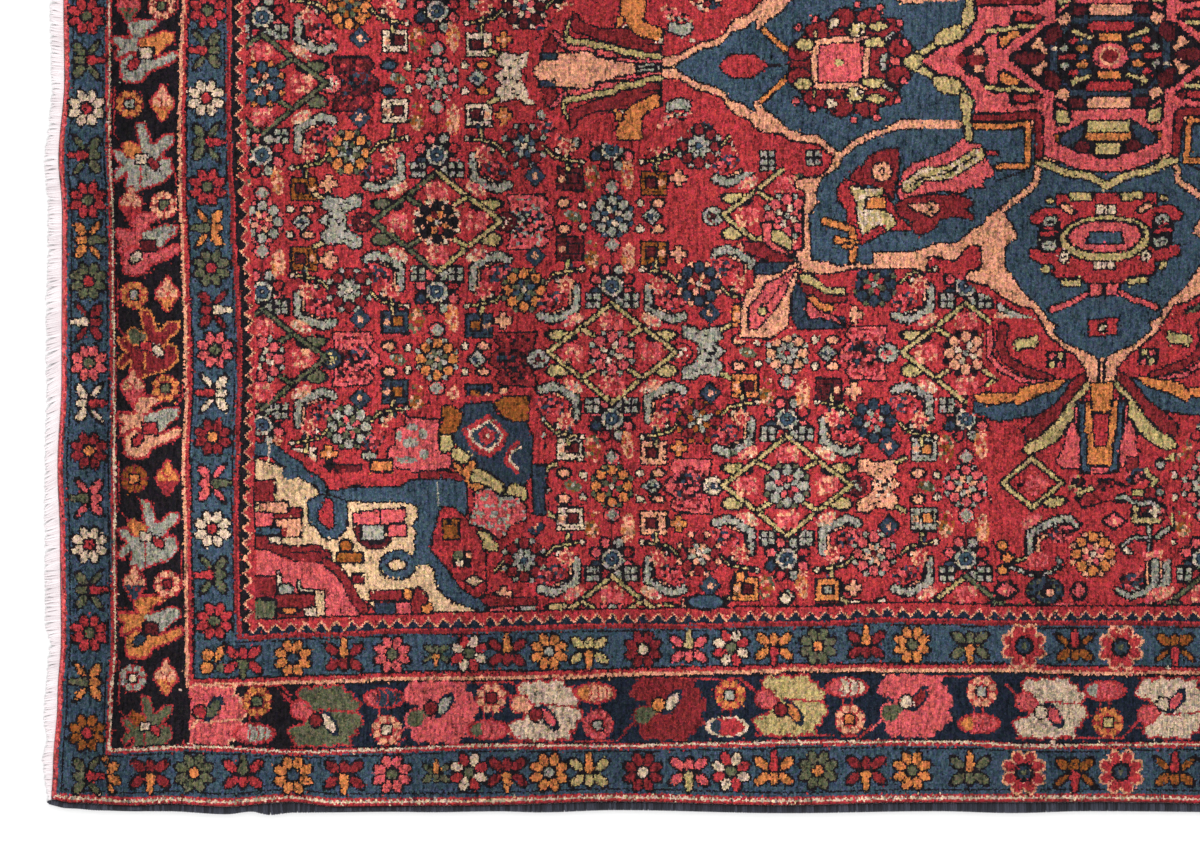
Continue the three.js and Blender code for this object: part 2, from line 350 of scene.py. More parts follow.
def butterfly(layer, x, y, wing, bud, turn, size, sprig):
    # five parted leaves and a bud that points along the turn; sprig is half the front leaves' width
    p = Patch(layer, x, y, 26 * size, turn, scale=size)
    leaves = (p.oval(-7.5, -11, 7, 4.1, 54), p.oval(-7, 0, 5.6, 4.1), p.oval(-7.5, 11, 7, 4.1, -54),
              p.oval(7.2, -12, 7, sprig, -50), p.oval(7.2, 12, 7, sprig, 50))
    p.lay(nearest(*leaves), ("ink", 1.9))
    p.lay(p.path(2, -3, -7, 0, 0, -3, 7), ("ink", 0.6))
    for leaf in leaves:
        p.lay(leaf, (wing, 0.1))
    p.lay(p.taper(8.6, 4, 4, 0, 10, 0, 17, 0), ("ink", 1.9), (bud, 0.1))


def daisy(layer, x, y, petal, ring, heart, size=13):
    # a small wheel of eight petals with a square heart
    p = Patch(layer, x, y, size + 5)
    p.lay(p.oval(0, 0, size, size), (ring, 0.8))
    for leaf in p.petals(8, size * 0.78, size * 0.25, size * 0.25, 22.5):
        p.lay(leaf, (petal, 0.2))
    p.lay(p.oval(0, 0, size * 0.48, size * 0.48), (ring, 0))
    p.lay(p.box(0, 0, size * 0.3, size * 0.3), ("ink", 1.6), (heart, -0.1))


def berry(layer, x, y, upper, lower):
    # a standing bud in two yarns with a crimson rim
    p = Patch(layer, x, y, 24)
    body = nearest(p.oval(0, 0, 11, 10), p.taper(12, 5, 0, -5, 0, -15), p.taper(14, 8, 0, 5, 0, 13))
    p.lay(body, ("crimson", 1.5), (upper, -0.5))
    p.lay(np.maximum(body, 2 - p.y), (lower, -0.5))
    for sx, sy in ((-5, -5), (5, -5), (-3, 3), (4, 4), (0, -1)):
        p.lay(p.path(1.6, sx, sy, sx * 0.4, sy + 3), ("crimson", 0))


def longBud(layer, x, y, tip, body, neck):
    # a lying bud in two yarns with curved marks, and a neck to the wheel beside it
    p = Patch(layer, x, y, 26)
    for side in (-4.5, 4.5):
        p.lay(p.path(1.6, side, neck * 6, side, neck * 20), ("crimson", 0))
    whole = p.oval(0, 0, 18.5, 9)
    p.lay(whole, ("ivory" if body == "crimson" else "crimson", 1.6), (body, -0.5))
    p.lay(np.maximum(whole, p.x + 6), (tip, -0.5))
    for at in (-5, 3, 11):
        arc = abs(p.oval(at - 8, 0, 9, 9.5)) - 0.8
        p.lay(np.maximum(arc, at - 5 - p.x), ("crimson", 0))


def tulip(layer, x, y, body, side, heart, mark, rim):
    # the end border's flower that opens to the left, with a cup below
    p = Patch(layer, x, y, 42)
    hook = p.shape(-15, -31, 13, -32, 12, -27, 2, -22, -1, -12, -4, -2, -12, -2, -10, -14, -16, -22)
    lobe = p.shape(-31, -15, -14, -14, -4, -17, -4, 2, -14, -1, -20, 2, -28, 7, -28, 0, -24, -4, -31, -9)
    cup = p.shape(-24, 9, -14, 2, -6, 6, 8, 8, 14, 6, 28, 0, 33, 2, 30, 8, 20, 13, 2, 20, -2, 28, -12, 30,
                  -22, 28, -24, 18)
    p.lay(nearest(hook, lobe, cup), (rim, 2), (body, -0.4))
    arm = p.shape(-5, -13, 8, -16, 18, -20, 30, -19, 29, -11, 22, -7, 13, 3, 6, 3, 8, -5, -5, -6)
    p.lay(arm, (rim, 1.6), (side, -0.2))
    p.lay(p.box(1, 1, 7, 5.4), ("ink", 1.6), (heart, -0.2))
    p.lay(p.oval(-11, 12, 7, 4.4, -45), ("ink", 1.5), (mark, -0.3))


def forkFlower(layer, x, y, body, bud, heart, mark, rim, size):
    # the end border's flower with a forked leaf on the left
    p = Patch(layer, x, y, 42, scale=size)
    spike = p.shape(-8, -37, 0, -36, 4, -26, 6, -16, 12, -16, 20, -25, 29, -25, 28, -16, 20, -10, 13, -1,
                    0, 0, -4, -14, -6, -24)
    fork = p.shape(-31, -9, -24, -9, -16, -4, -8, 0, -6, 14, -14, 12, -20, 13, -28, 21, -31, 16, -26, 8,
                   -21, 5, -28, -1)
    skirt = p.shape(-17, 4, -4, 2, 10, 4, 18, -2, 26, -1, 28, 12, 18, 22, 4, 26, -6, 30, -12, 33, -19, 26,
                    -17, 16)
    p.lay(nearest(spike, fork, skirt), (rim, 1.9), (body, -0.4))
    leaf = p.shape(-22, -14, -18, -19, -12, -17, -3, -12, -5, -4, -12, -2, -18, -4)
    p.lay(leaf, (rim, 1.4), (bud, -0.2))
    p.lay(p.path(1.6, -4, 6, -4, 27), (rim, 0.2))
    p.lay(p.box(-3, -1, 5.6, 4.4), ("ink", 1.5), (heart, -0.2))
    p.lay(p.oval(9, 4, 7, 4, 50), ("ink", 1.3), (mark, -0.3))


def sideLeaf(layer, x, y, body, bud, heart, mark, rim, flip):
    # the side border's broad leaf that opens to the right, its mark lying below or above
    p = Patch(layer, x, y, 50, 0, (1, flip))
    leaf = p.shape(-28, -24, -22, -30, -14, -27, -6, -31, 2, -28, 10, -31, 18, -30, 20, -24, 27, -23,
                   28, -17, 36, -14, 33, -8, 30, -4, 36, 0, 37, 8, 31, 12, 31, 18, 24, 20, 26, 29, 14, 27,
                   6, 31, -2, 28, -10, 31, -18, 28, -26, 30, -32, 24, -37, 14, -30, 10, -22, 9, -16, 0,
                   -18, -14, -26, -18)
    p.lay(leaf, (rim, 1.7), (body, -0.5))
    p.lay(p.path(1.4, -6, -7, 30, -4), (rim, 0.3))
    p.lay(p.path(2.4, -44, -24, -34, -14, -26, -8), (rim, 0))
    p.lay(nearest(p.oval(-25, -7, 8.6, 8.4), p.oval(-18, -3, 6, 5)), (rim, 2), (bud, -0.2))
    p.lay(p.oval(4, 7, 10.4, 4.6, 55), ("navy", 2.2), (mark, -0.2))
    p.lay(p.oval(-9, 4, 6, 6.2), ("ink", 2), (heart, 0))


# Guard border of the ends, the same in the outer and the inner guard: places down the
# outer and the inner one, motif, yarn, heart, and which way the outer one's bud points
endGuard = (
    (16, 10, "rosette", "crimson", "moss", 0),
    (60, 50, "butterfly", "moss", "crimson", 1),
    (108, 98, "rosette", "ivory", "crimson", 0),
    (155, 142, "butterfly", "moss", "crimson", -1),
    (200, 187, "rosette", "crimson", "moss", 0),
    (240, 228, "butterfly", "orange", "moss", 1),
    (281, 268, "rosette", "moss", "crimson", 0),
    (322, 310, "butterfly", "madder", "ivory", -1),
    (363, 350, "rosette", "rose", "moss", 0),
    (403, 393, "butterfly", "ivory", "crimson", 1),
    (451, 437, "rosette", "madder", "orange", 0),
    (498, 483, "butterfly", "rose", "moss", -1),
    (545, 529, "rosette", "ivory", "crimson", 0),
    (590, 575, "butterfly", "moss", "crimson", 1),
    (633, 621, "rosette", "crimson", "moss", 0),
    (682, None, "butterfly", "orange", "moss", -1),
    (733, None, "rosette", "rust", "crimson", 0),
    (776, None, "butterfly", "moss", "crimson", 1),
)
# Both guard borders past what the photograph shows of them, and the size of their motifs
guards = {
    "pitch": 45.2,  # from one motif to the next where the photograph doesn't show them
    "above": 14,  # motifs of the ends above the photograph
    "beyond": 20,  # motifs of the sides past its right edge
    "outerTop": -690,  # where each guard's row of motifs stops
    "innerTop": -560,
    "outerRight": 2130,
    "innerSides": (240, 1960),
    "endEdge": 64,  # pixel of the pile's end and of its side
    "sideEdge": 798,
    "outerSize": 18,
    "innerSize": 17,
}

# Guard border of the sides: place along both guards, motif, yarn, heart
sideGuard = (
    (150, "butterfly", "madder", "orange"),
    (194, "rosette", "moss", "orange"),
    (243, "butterfly", "crimson", "moss"),
    (293, "rosette", "orange", "steel"),
    (344, "butterfly", "madder", "orange"),
    (392, "rosette", "rose", "moss"),
    (436, "sprig", "moss", "orange"),
    (469, "pinwheel", "ivory", "moss"),
    (507, "butterfly", "madder", "orange"),
    (549, "rosette", "orange", "silver"),
    (589, "butterfly", "gold", "orange"),
    (643, "rosette", "madder", "ivory"),
    (689, "butterfly", "rose", "gold"),
    (731, "pinwheel", "ivory", "moss"),
    (774, "butterfly", "orange", "crimson"),
    (818, "rosette", "moss", "orange"),
    (866, "butterfly", "madder", "orange"),
    (912, "rosette", "orange", "moss"),
    (970, "butterfly", "moss", "orange"),
    (1024, "full", "crimson", "moss"),
    (1075, "thin", "rust", "crimson"),
    (1121, "full", "crimson", "moss"),
    (1175, "thin", "rust", "crimson"),
)

# Odd leaves in the corner: place, half sizes, turn, yarn
cornerPieces = (
    (106, 760, 4, 2.6, 60, "orange"),
    (113, 767, 5.6, 4.4, -30, "orange"),
    (114, 780, 6.6, 4.6, 30, "orange"),
    (111, 789, 4.6, 2.2, 70, "orange"),
    (207.5, 655, 5.6, 5.4, 0, "orange"),
    (207.5, 668, 6.4, 5.6, 0, "orange"),
    (220, 653, 8.6, 3.6, -62, "orange"),
    (222, 668, 6, 3.6, 0, "moss"),
)


def layGuardMotif(layer, x, y, motif, yarn, heart, turn, size=guards["innerSize"]):
    thin = turn % 180 == 0 or motif == "thin"
    if motif in ("rosette", "pinwheel"):
        rosette(layer, x, y, yarn, heart, size * 1.08, "crimson" if motif == "pinwheel" else None)
    elif motif == "full":
        fullRosette(layer, x, y, yarn, heart, "salmon")
    elif motif == "sprig":
        butterfly(layer, x, y, yarn, heart, turn, size / 25, 3)
    else:
        butterfly(layer, x, y, yarn, heart, turn, size / 17, 2.4 if thin else 3.9)


def layGuards(layer):
    # down the end first, then along the side, in the outer guard and in the inner one
    firstOuter, firstInner = endGuard[0][:2]
    for k in range(-guards["above"], len(endGuard)):
        outerY, innerY, motif, yarn, heart, way = endGuard[k % (len(endGuard) - 2) if k < 0 else k]
        if k < 0:
            outerY, innerY = firstOuter + k * guards["pitch"], firstInner + k * guards["pitch"]
        turn = 0 if way > 0 else 180
        if outerY > guards["outerTop"]:
            x = (endLine("outer", outerY) + guards["endEdge"]) / 2
            layGuardMotif(layer, x, outerY, motif, yarn, heart, turn)
        if innerY is not None and innerY > guards["innerTop"]:
            x = (endLine("inner", innerY) + endLine("field", innerY)) / 2 + 1
            layGuardMotif(layer, x, innerY, motif, yarn, heart, turn + 180)
    for x, y, rx, ry, turn, yarn in cornerPieces:
        p = Patch(layer, x, y, 16)
        p.lay(p.oval(0, 0, rx, ry, turn), ("ink", 1.6), (yarn, 0.1))
    last = len(sideGuard)
    innerFrom, innerTo = guards["innerSides"]
    for k in range(last + guards["beyond"]):
        x, motif, yarn, heart = sideGuard[k % last]
        if k >= last:
            x = sideGuard[-1][0] + (k - last + 1) * guards["pitch"]
        turn = 90 if k // 2 % 2 == 0 else -90
        outerY = (sideLine("outer", x) + guards["sideEdge"]) / 2 + 0.5
        innerY = (sideLine("inner", x) + sideLine("field", x)) / 2
        if x < guards["outerRight"]:
            layGuardMotif(layer, x, outerY, motif, yarn, heart, turn, guards["outerSize"])
        if innerFrom < x < innerTo:
            layGuardMotif(layer, x, innerY, motif, yarn, heart, -turn)


# Main border of the ends: place down it, flower, body, side or bud, heart, mark, rim
endFlowers = (
    (52, "tulip", "silver", "orange", "ivory", "crimson", "crimson"),
    (160, "fork", "silver", "orange", "ivory", "madder", "crimson"),
    (245, "tulip", "rose", "silver", "burgundy", "ivory", "crimson"),
    (347, "fork", "madder", "moss", "crimson", "ivory", "orange"),
    (428, "tulip", "salmon", "silver", "crimson", "crimson", "crimson"),
    (538, "fork", "silver", "orange", "ivory", "crimson", "crimson"),
    (628, "tulip", "orange", "silver", "burgundy", "slate", "crimson"),
    (727, "fork", "moss", "rust", "ivory", "crimson", "crimson"),
)
# The wheel and the bud between them: place down, wheel's side, wheel's petal and ring,
# heart, bud's upper and lower yarn
endPairs = (
    (5, 1, "salmon", "madder", "moss", "rose", "moss"),
    (103, -1, "orange", "madder", "silver", "salmon", "orange"),
    (204, 1, "salmon", "crimson", "moss", "salmon", "crimson"),
    (294, -1, "orange", "crimson", "silver", "salmon", "orange"),
    (387, 1, "orange", "madder", "moss", "salmon", "rose"),
    (478, -1, "rust", "madder", "orange", "orange", "madder"),
    (583, 1, "salmon", "crimson", "madder", "salmon", "slate"),
    (677, -1, "silver", "crimson", "ivory", "salmon", "orange"),
)
# Main border of the sides: place along it, body, bud, heart, mark, rim
sideFlowers = (
    (209, "rose", "rose", "crimson", "moss", "salmon"),
    (325, "moss", "rose", "madder", "ivory", "crimson"),
    (440, "rose", "moss", "madder", "silver", "rose"),
    (545, "ivory", "salmon", "madder", "rose", "crimson"),
    (668, "madder", "moss", "orange", "ivory", "madder"),
    (790, "gold", "rose", "madder", "orange", "crimson"),
    (915, "rose", "moss", "ivory", "madder", "rose"),
    (1050, "ivory", "rose", "ivory", "rose", "crimson"),
    (1172, "ivory", "rose", "ivory", "rose", "crimson"),
)
# place along, wheel's petal, ring and heart, bud's two yarns
sidePairs = (
    (257, "orange", "madder", "moss", "rose", "silver"),
    (387, "salmon", "crimson", "ivory", "rose", "slate"),
    (491, "salmon", "crimson", "madder", "moss", "rose"),
    (598, "rose", "crimson", "silver", "orange", "salmon"),
    (730, "orange", "crimson", "silver", "slate", "crimson"),
    (850, "salmon", "crimson", "orange", "rose", "ivory"),
    (982, "salmon", "crimson", "silver", "orange", "rose"),
    (1108, "orange", "crimson", "gold", "silver", "rose"),
)
mainBorder = {
    "endPitch": 95,  # from one flower to the next where the photograph doesn't show them
    "sidePitch": 122,
    "hiddenFlowers": 7,
    "smallFrom": 700,  # pixel below which the forked flower is smaller, and by how much
    "smallSize": 0.84,
    "endsPast": -3.4,  # how near the ends' flowers and the sides' come to the line where they meet
    "sidesPast": 1.5,
    "outerPast": 3,
}


def layEndFlowers(layer):
    flowers, pairs = len(endFlowers), len(endPairs)
    for k in range(-mainBorder["hiddenFlowers"], flowers):
        y, kind, body, side, heart, mark, rim = endFlowers[k % flowers]
        y = y if k >= 0 else endFlowers[0][0] + mainBorder["endPitch"] * k
        left, right = endLine("outer", y), endLine("inner", y)
        x = (left + right) / 2
        p = Patch(layer, x, y, (40, 80))
        if kind == "tulip":
            p.lay(p.path(1.5, left - x + 5, 34, left - x + 5, 82, left - x + 14, 92), ("crimson", 0))
            tulip(layer, x - 1, y, body, side, heart, mark, rim)
        else:
            p.lay(p.path(1.5, right - x - 5, 12, right - x - 5, 50, right - x - 10, 58), ("crimson", 0))
            size = 1 if y < mainBorder["smallFrom"] else mainBorder["smallSize"]
            forkFlower(layer, x - 1, y, body, side, heart, mark, rim, size)
        y, way, petal, ring, core, upper, lower = endPairs[k % pairs]
        y = y if k >= 0 else endPairs[0][0] + mainBorder["endPitch"] * k
        berry(layer, x - 17 * way, y, upper, lower)
        daisy(layer, x + 16 * way, y + 1, petal, ring, core)


def laySideFlowers(layer):
    flowers, pairs = len(sideFlowers), len(sidePairs)
    for k in range(flowers + mainBorder["hiddenFlowers"]):
        x, body, bud, heart, mark, rim = sideFlowers[k % flowers]
        x = x if k < flowers else sideFlowers[-1][0] + mainBorder["sidePitch"] * (k - flowers + 1)
        y = (sideLine("outer", x) + sideLine("inner", x)) / 2
        up = -1 if k % 2 == 0 else 1
        p = Patch(layer, x, y, (100, 40))
        p.lay(p.path(1.5, -34, 30 * up, 72, 30 * up, 82, 20 * up), ("crimson", 0))
        sideLeaf(layer, x, y, body, bud, heart, mark, rim, up)
        x, petal, ring, core, upper, lower = sidePairs[k % pairs]
        x = x if k < pairs else sidePairs[-1][0] + mainBorder["sidePitch"] * (k - pairs + 1)
        longBud(layer, x - 3, y - 18 * up, upper, lower, up)
        daisy(layer, x, y + 14 * up, petal, ring, core, 14.5)


def weaveBorders(chart):
    # one end and one side, and the same turned half round for the other two
    outer, _ = fromSides("outer")
    pastEnds = nearest(knotX - endLine("inner", knotY), lastX - knotX - endLine("inner", lastY - knotY))
    both, ends, sides = freshLayer(), freshLayer(), freshLayer()
    layGuards(both)
    layEndFlowers(ends)
    laySideFlowers(sides)
    ends[(pastEnds > mainBorder["endsPast"]) | (outer < mainBorder["outerPast"])] = bare
    sides[(pastEnds < mainBorder["sidesPast"]) | (outer < mainBorder["outerPast"])] = bare
    for layer in (both, ends, sides):
        merge(chart, layer[::-1, ::-1], layer)


chart = weaveGround()
weaveBorders(chart)
print("borders woven")


# The field's net of motifs: columns and rows of its places in the photograph
fieldColumns = (262, 437, 612, 787, 966, 1203, 1378, 1553, 1728, 1903)
fieldRows = (-472, -335, -198, -61, 78, 216, 353, 486, 626)
fieldHalf = (87, 67)  # from a place to the small motifs between four places
beforeMiddle = 4  # the column before the middle, with more room after it
middleHalf = 127
sag = {"drop": 6, "columns": 2, "from": 60, "perColumn": 100}  # the first columns hang a little lower
everyWay = ((1, 1), (-1, 1), (1, -1), (-1, -1))

# Yarns of the net's motifs by column and row: diamond's outline and its other half, ground,
# petals, tips and middle of the flower in it
diamondYarns = {
    (0, 4): ("moss", "moss", "ink", "steel", "orange", "salmon"),
    (1, 5): ("moss", "gold", "salmon", "ink", "ivory", "orange"),
    (0, 6): ("moss", "moss", "ink", "rose", "silver", "ivory"),
    (2, 6): ("gold", "gold", "ink", "rose", "silver", "ivory"),
    (3, 7): ("gold", "gold", "ink", "silver", "moss", "rose"),
    (4, 6): ("gold", "gold", "burgundy", "salmon", "ink", "ivory"),
    (2, 8): ("gold", "gold", "ink", "silver", "rose", "ivory"),
    (4, 8): ("gold", "moss", "ink", "rose", "silver", "ivory"),
    (5, 8): ("moss", "gold", "ink", "silver", "moss", "salmon"),
}
# Large rosettes: petals, tips, inner petals, heart, yarn of the squares round them (or of the left
# ones and the right ones) and their eyes
rosetteYarns = {
    (1, 4): ("rose", "silver", "silver", "crimson", "ivory", "burgundy"),
    (1, 6): ("orange", "silver", "moss", "salmon", "slate", "rust"),
    (2, 5): ("silver", "steel", "ivory", "burgundy", ("burgundy", "rust"), "burgundy"),
    (2, 7): ("orange", "moss", "crimson", "ivory", ("ivory", "salmon"), "burgundy"),
    (3, 6): ("salmon", "silver", "silver", "crimson", ("orange", "burgundy"), "burgundy"),
    (4, 7): ("rose", "silver", "salmon", "crimson", "silver", "orange"),
    (5, 7): ("rose", "silver", "silver", "crimson", "gold", "burgundy"),
    (0, 5): ("silver", "rose", "salmon", "crimson", "rust", "burgundy"),
    (0, 7): ("silver", "rose", "salmon", "crimson", "ivory", "burgundy"),
}
# Small wheels between four places: petals, tips, inner petals, heart
wheelYarns = {
    (0, 3): ("orange", "rust", "moss", "slate"),
    (1, 3): ("burgundy", "ivory", "rose", "steel"),
    (0, 4): ("orange", "moss", "silver", "slate"),
    (1, 4): ("madder", "silver", "steel", "ivory"),
    (0, 5): ("madder", "silver", "silver", "ivory"),
    (1, 5): ("orange", "moss", "steel", "ivory"),
    (2, 5): ("slate", "salmon", "madder", "ivory"),
    (0, 6): ("silver", "moss", "rose", "silver"),
    (2, 6): ("madder", "rust", "silver", "ivory"),
    (3, 5): ("slate", "moss", "crimson", "silver"),
    (3, 6): ("slate", "crimson", "silver", "rose"),
    (1, 7): ("madder", "silver", "silver", "steel"),
    (2, 7): ("madder", "salmon", "silver", "ivory"),
    (3, 7): ("rose", "silver", "salmon", "burgundy"),
    (4, 7): ("orange", "rust", "moss", "ivory"),
}
# Broad leaves beside the diamonds: shape, yarn, its other yarn, flower, flower's middle
leafYarns = {
    (0, 4): ("bell", "burgundy", "madder", "rose", "ivory"),
    (1, 4): ("wings", "ivory", "ivory", "burgundy", "burgundy"),
    (0, 5): ("wings", "silver", "silver", "burgundy", "rose"),
    (2, 5): ("flower", "silver", "silver", "silver", "burgundy"),
    (1, 5): ("bell", "rose", "silver", "burgundy", "ivory"),
    (0, 6): ("bell", "rose", "burgundy", "slate", "gold"),
    (1, 6): ("bell", "madder", "burgundy", "silver", "burgundy"),
    (2, 6): ("wings", "silver", "silver", "crimson", "ivory"),
    (3, 6): ("bell", "rose", "madder", "silver", "rose"),
    (2, 7): ("bell", "rose", "burgundy", "ivory", "slate"),
    (3, 7): ("wings", "salmon", "ivory", "burgundy", "silver"),
    (4, 7): ("bell", "burgundy", "madder", "crimson", "silver"),
}


def yarnsAt(table, column, row):
    # the photograph's own yarns where it shows them, and in turn for the rest
    choices = list(table.values())
    return table.get((column, row), choices[(column * 3 + row * 5) % len(choices)])


def isRosette(column, row):
    # rosettes and diamonds take turns, with one step left out past the middle
    return (column + row + (column > beforeMiddle)) % 2 == 1


def ring(p, petal, tip, inner, heart, size=22):
    # eight petals with small tips between them, eight short inner petals and a heart
    outer = p.petals(8, size * 0.76, size * 0.23, size * 0.21)
    p.lay(nearest(*outer, p.oval(0, 0, size * 0.94, size * 0.94)), ("ink", 1.5))
    for leaf in outer:
        p.lay(leaf, (petal, 0))
    for leaf in p.petals(8, size * 0.96, size * 0.1, size * 0.11, 22.5):
        p.lay(leaf, ("ink", 1.4), (tip, 0.2))
    for k, leaf in enumerate(p.petals(8, size * 0.36, size * 0.16, size * 0.1, 22.5)):
        p.lay(leaf, (inner if k % 2 else tip, 0.3))
    p.lay(p.oval(0, 0, size * 0.12, size * 0.12), (heart, 0.2))


def bloom(p, x, y, rx, ry):
    # a soft flower of mixed knots
    body = p.oval(x, y, rx, ry) + 1.2 * np.cos(4 * np.arctan2(p.y - y, p.x - x))
    p.dust(body, ("rose", "rose", "salmon", "crimson"), int(abs(x * 7 + y)))
    p.dust(p.oval(x, y, rx * 0.3, ry * 0.3), ("crimson", "crimson", "rose"), 5)


def dots(p, x, y):
    # four silver dots on a dark square
    reach, size = 3.9, 2.7
    for band in (("ink", 2.2), ("silver", 0)):
        for sx, sy in everyWay:
            p.lay(p.box(x + sx * reach, y + sy * reach, size, size), band)


def boot(layer, x, y, flip):
    # a curved leaf with a ball at its top and a speckled lobe in its bend
    p = Patch(layer, x, y, (90, 96), 0, flip)
    p.dust(p.oval(61, -52, 15, 8, 24), ("ink", "rose", "slate", "burgundy", "crimson"), 3)
    p.ink(p.path(2, 41, -66, 41, -46, 52, -42, 60, -38), "salmon", 0.3)
    leg = p.taper(6, 7.4, 36, -66, 36, -45, 47, -38, 60, -33, 71, -37)
    p.ink(leg, "silver")
    p.dust(abs(leg + 0.6) - 0.9, ("silver", "silver", "silver", "ink"), 9)
    p.ink(p.path(2, 46, -78, 44, -92), "gold")
    p.ink(p.path(1.4, 30, -84, 44, -82, 58, -79, 66, -70), "gold", -0.1)
    p.ink(p.oval(30, -84, 2, 2), "ivory")
    p.ink(p.oval(54, -73, 2.4, 1.6, 40), "ivory", 0.1)
    petals = nearest(p.oval(46, -68, 6, 6), *p.petals(7, 7, 2.4, 2, 10, 46, -68))
    p.dust(petals, ("salmon", "rose", "salmon"), 8)
    p.lay(p.oval(46, -68, 4.2, 4.2), ("crimson", 0))
    p.lay(p.oval(46, -68, 1.4, 1.4), ("salmon", 0))


def floret(layer, x, y):
    # a round blue flower with an ivory ring between dark wings
    p = Patch(layer, x, y, 34)
    p.lay(p.path(1.8, 0, -30, 0, 30), ("burgundy", 0))
    for k, petal in enumerate(p.petals(8, 17.5, 5, 4.4, 22.5)):
        p.ink(petal, ("rose", "silver", "crimson", "slate", "rose")[k % 5], -0.4)
        p.lay(p.oval(0, 0, 13, 12), ("ink", 0))
    p.lay(p.oval(0, 0, 10.2, 9.6), ("ink", 1), ("silver", 0))
    for k, petal in enumerate(p.petals(8, 8.6, 2, 1.7, 22.5)):
        p.lay(petal, ("ivory" if k % 2 else "silver", 0.3))
    p.lay(p.oval(0, 0, 6.6, 6.4), ("navy", 0.8), ("steel", -0.6))
    p.lay(p.oval(0, 0, 2, 2), ("ink", 0.6), ("silver", -0.8))


def diamondUnit(layer, x, y, line, other, ground, petal, tip, middle):
    # a serrated diamond round a flower, with all that stands about it
    for flip in everyWay:
        boot(layer, x, y, flip)
    for side in (-1, 1):
        p = Patch(layer, x, y, (84, 60), 0, (side, 1))
        yarn = other if side > 0 else line
        for sy in (-1, 1):
            p.dust(p.oval(39, sy * 33, 11, 5.4, -sy * 27), ("salmon", "salmon", "rose", "ivory"), 4 + sy)
        p.ink(p.oval(51, -17, 12, 4.8, -6), yarn, 0.1)
        p.ink(p.oval(53, 17, 10.5, 5.8, 8), yarn, 0.1)
        p.ink(p.path(3.4, 0, -50, 30, -26, 64, -1, 32, 24, 0, 50), yarn, 0)
        for sy in (-1, 1):
            p.ink(p.path(3.2, 29, sy * 24, 17, sy * 17), yarn, 0)
    p = Patch(layer, x, y, (70, 60))
    for place in ((0, -32, 13, 8.6), (1, 33, 12, 9.6), (-40, 1, 12, 10.4), (40, -1, 12, 10)):
        bloom(p, *place)
    outer = p.petals(8, 16.4, 5.2, 4.7)
    tips = p.petals(8, 21.4, 2.4, 2.3, 22.5)
    p.lay(nearest(*outer, *tips, p.oval(0, 0, 17, 16)), (ground, 1.8))
    for leaf in tips:
        p.lay(leaf, ("ink", 1), (tip, 0.2))
    for leaf in outer:
        p.lay(leaf, ("ink", 1), (petal, 0))
    for k, leaf in enumerate(p.petals(8, 8.4, 3.4, 2.2, 22.5)):
        p.lay(leaf, ("ink", 0.8), ((middle, "madder", middle, petal)[k % 4], 0.3))
    p.lay(p.oval(0, 0, 2.6, 2.6), ("ink", 1), ("silver", 0))
    for sx, sy in everyWay:
        dots(p, sx * 19, sy * 52)


def square(p, x, y, body, eye, turn):
    # a small hooked square with its eye to one side
    p.ink(p.box(x, y, 12, 10.6), body)
    for way in (-6, 6):
        p.lay(p.box(x - 11.5 * turn, y + way, 3, 1), ("ink", 0))
    p.lay(p.oval(x - 8 * turn, y, 3.4, 3.4), ("salmon", 0))
    p.lay(p.path(1.8, x - 4 * turn, y - 9, x - 4 * turn, y + 5), ("ink", 0))
    for k in range(3):
        p.lay(p.oval(x + (k * 6 - 6) * turn, y + 8.6, 1.2, 1), ("ink", 0))
    p.ink(p.box(x + 3.4 * turn, y - 0.5, 4, 4), eye)


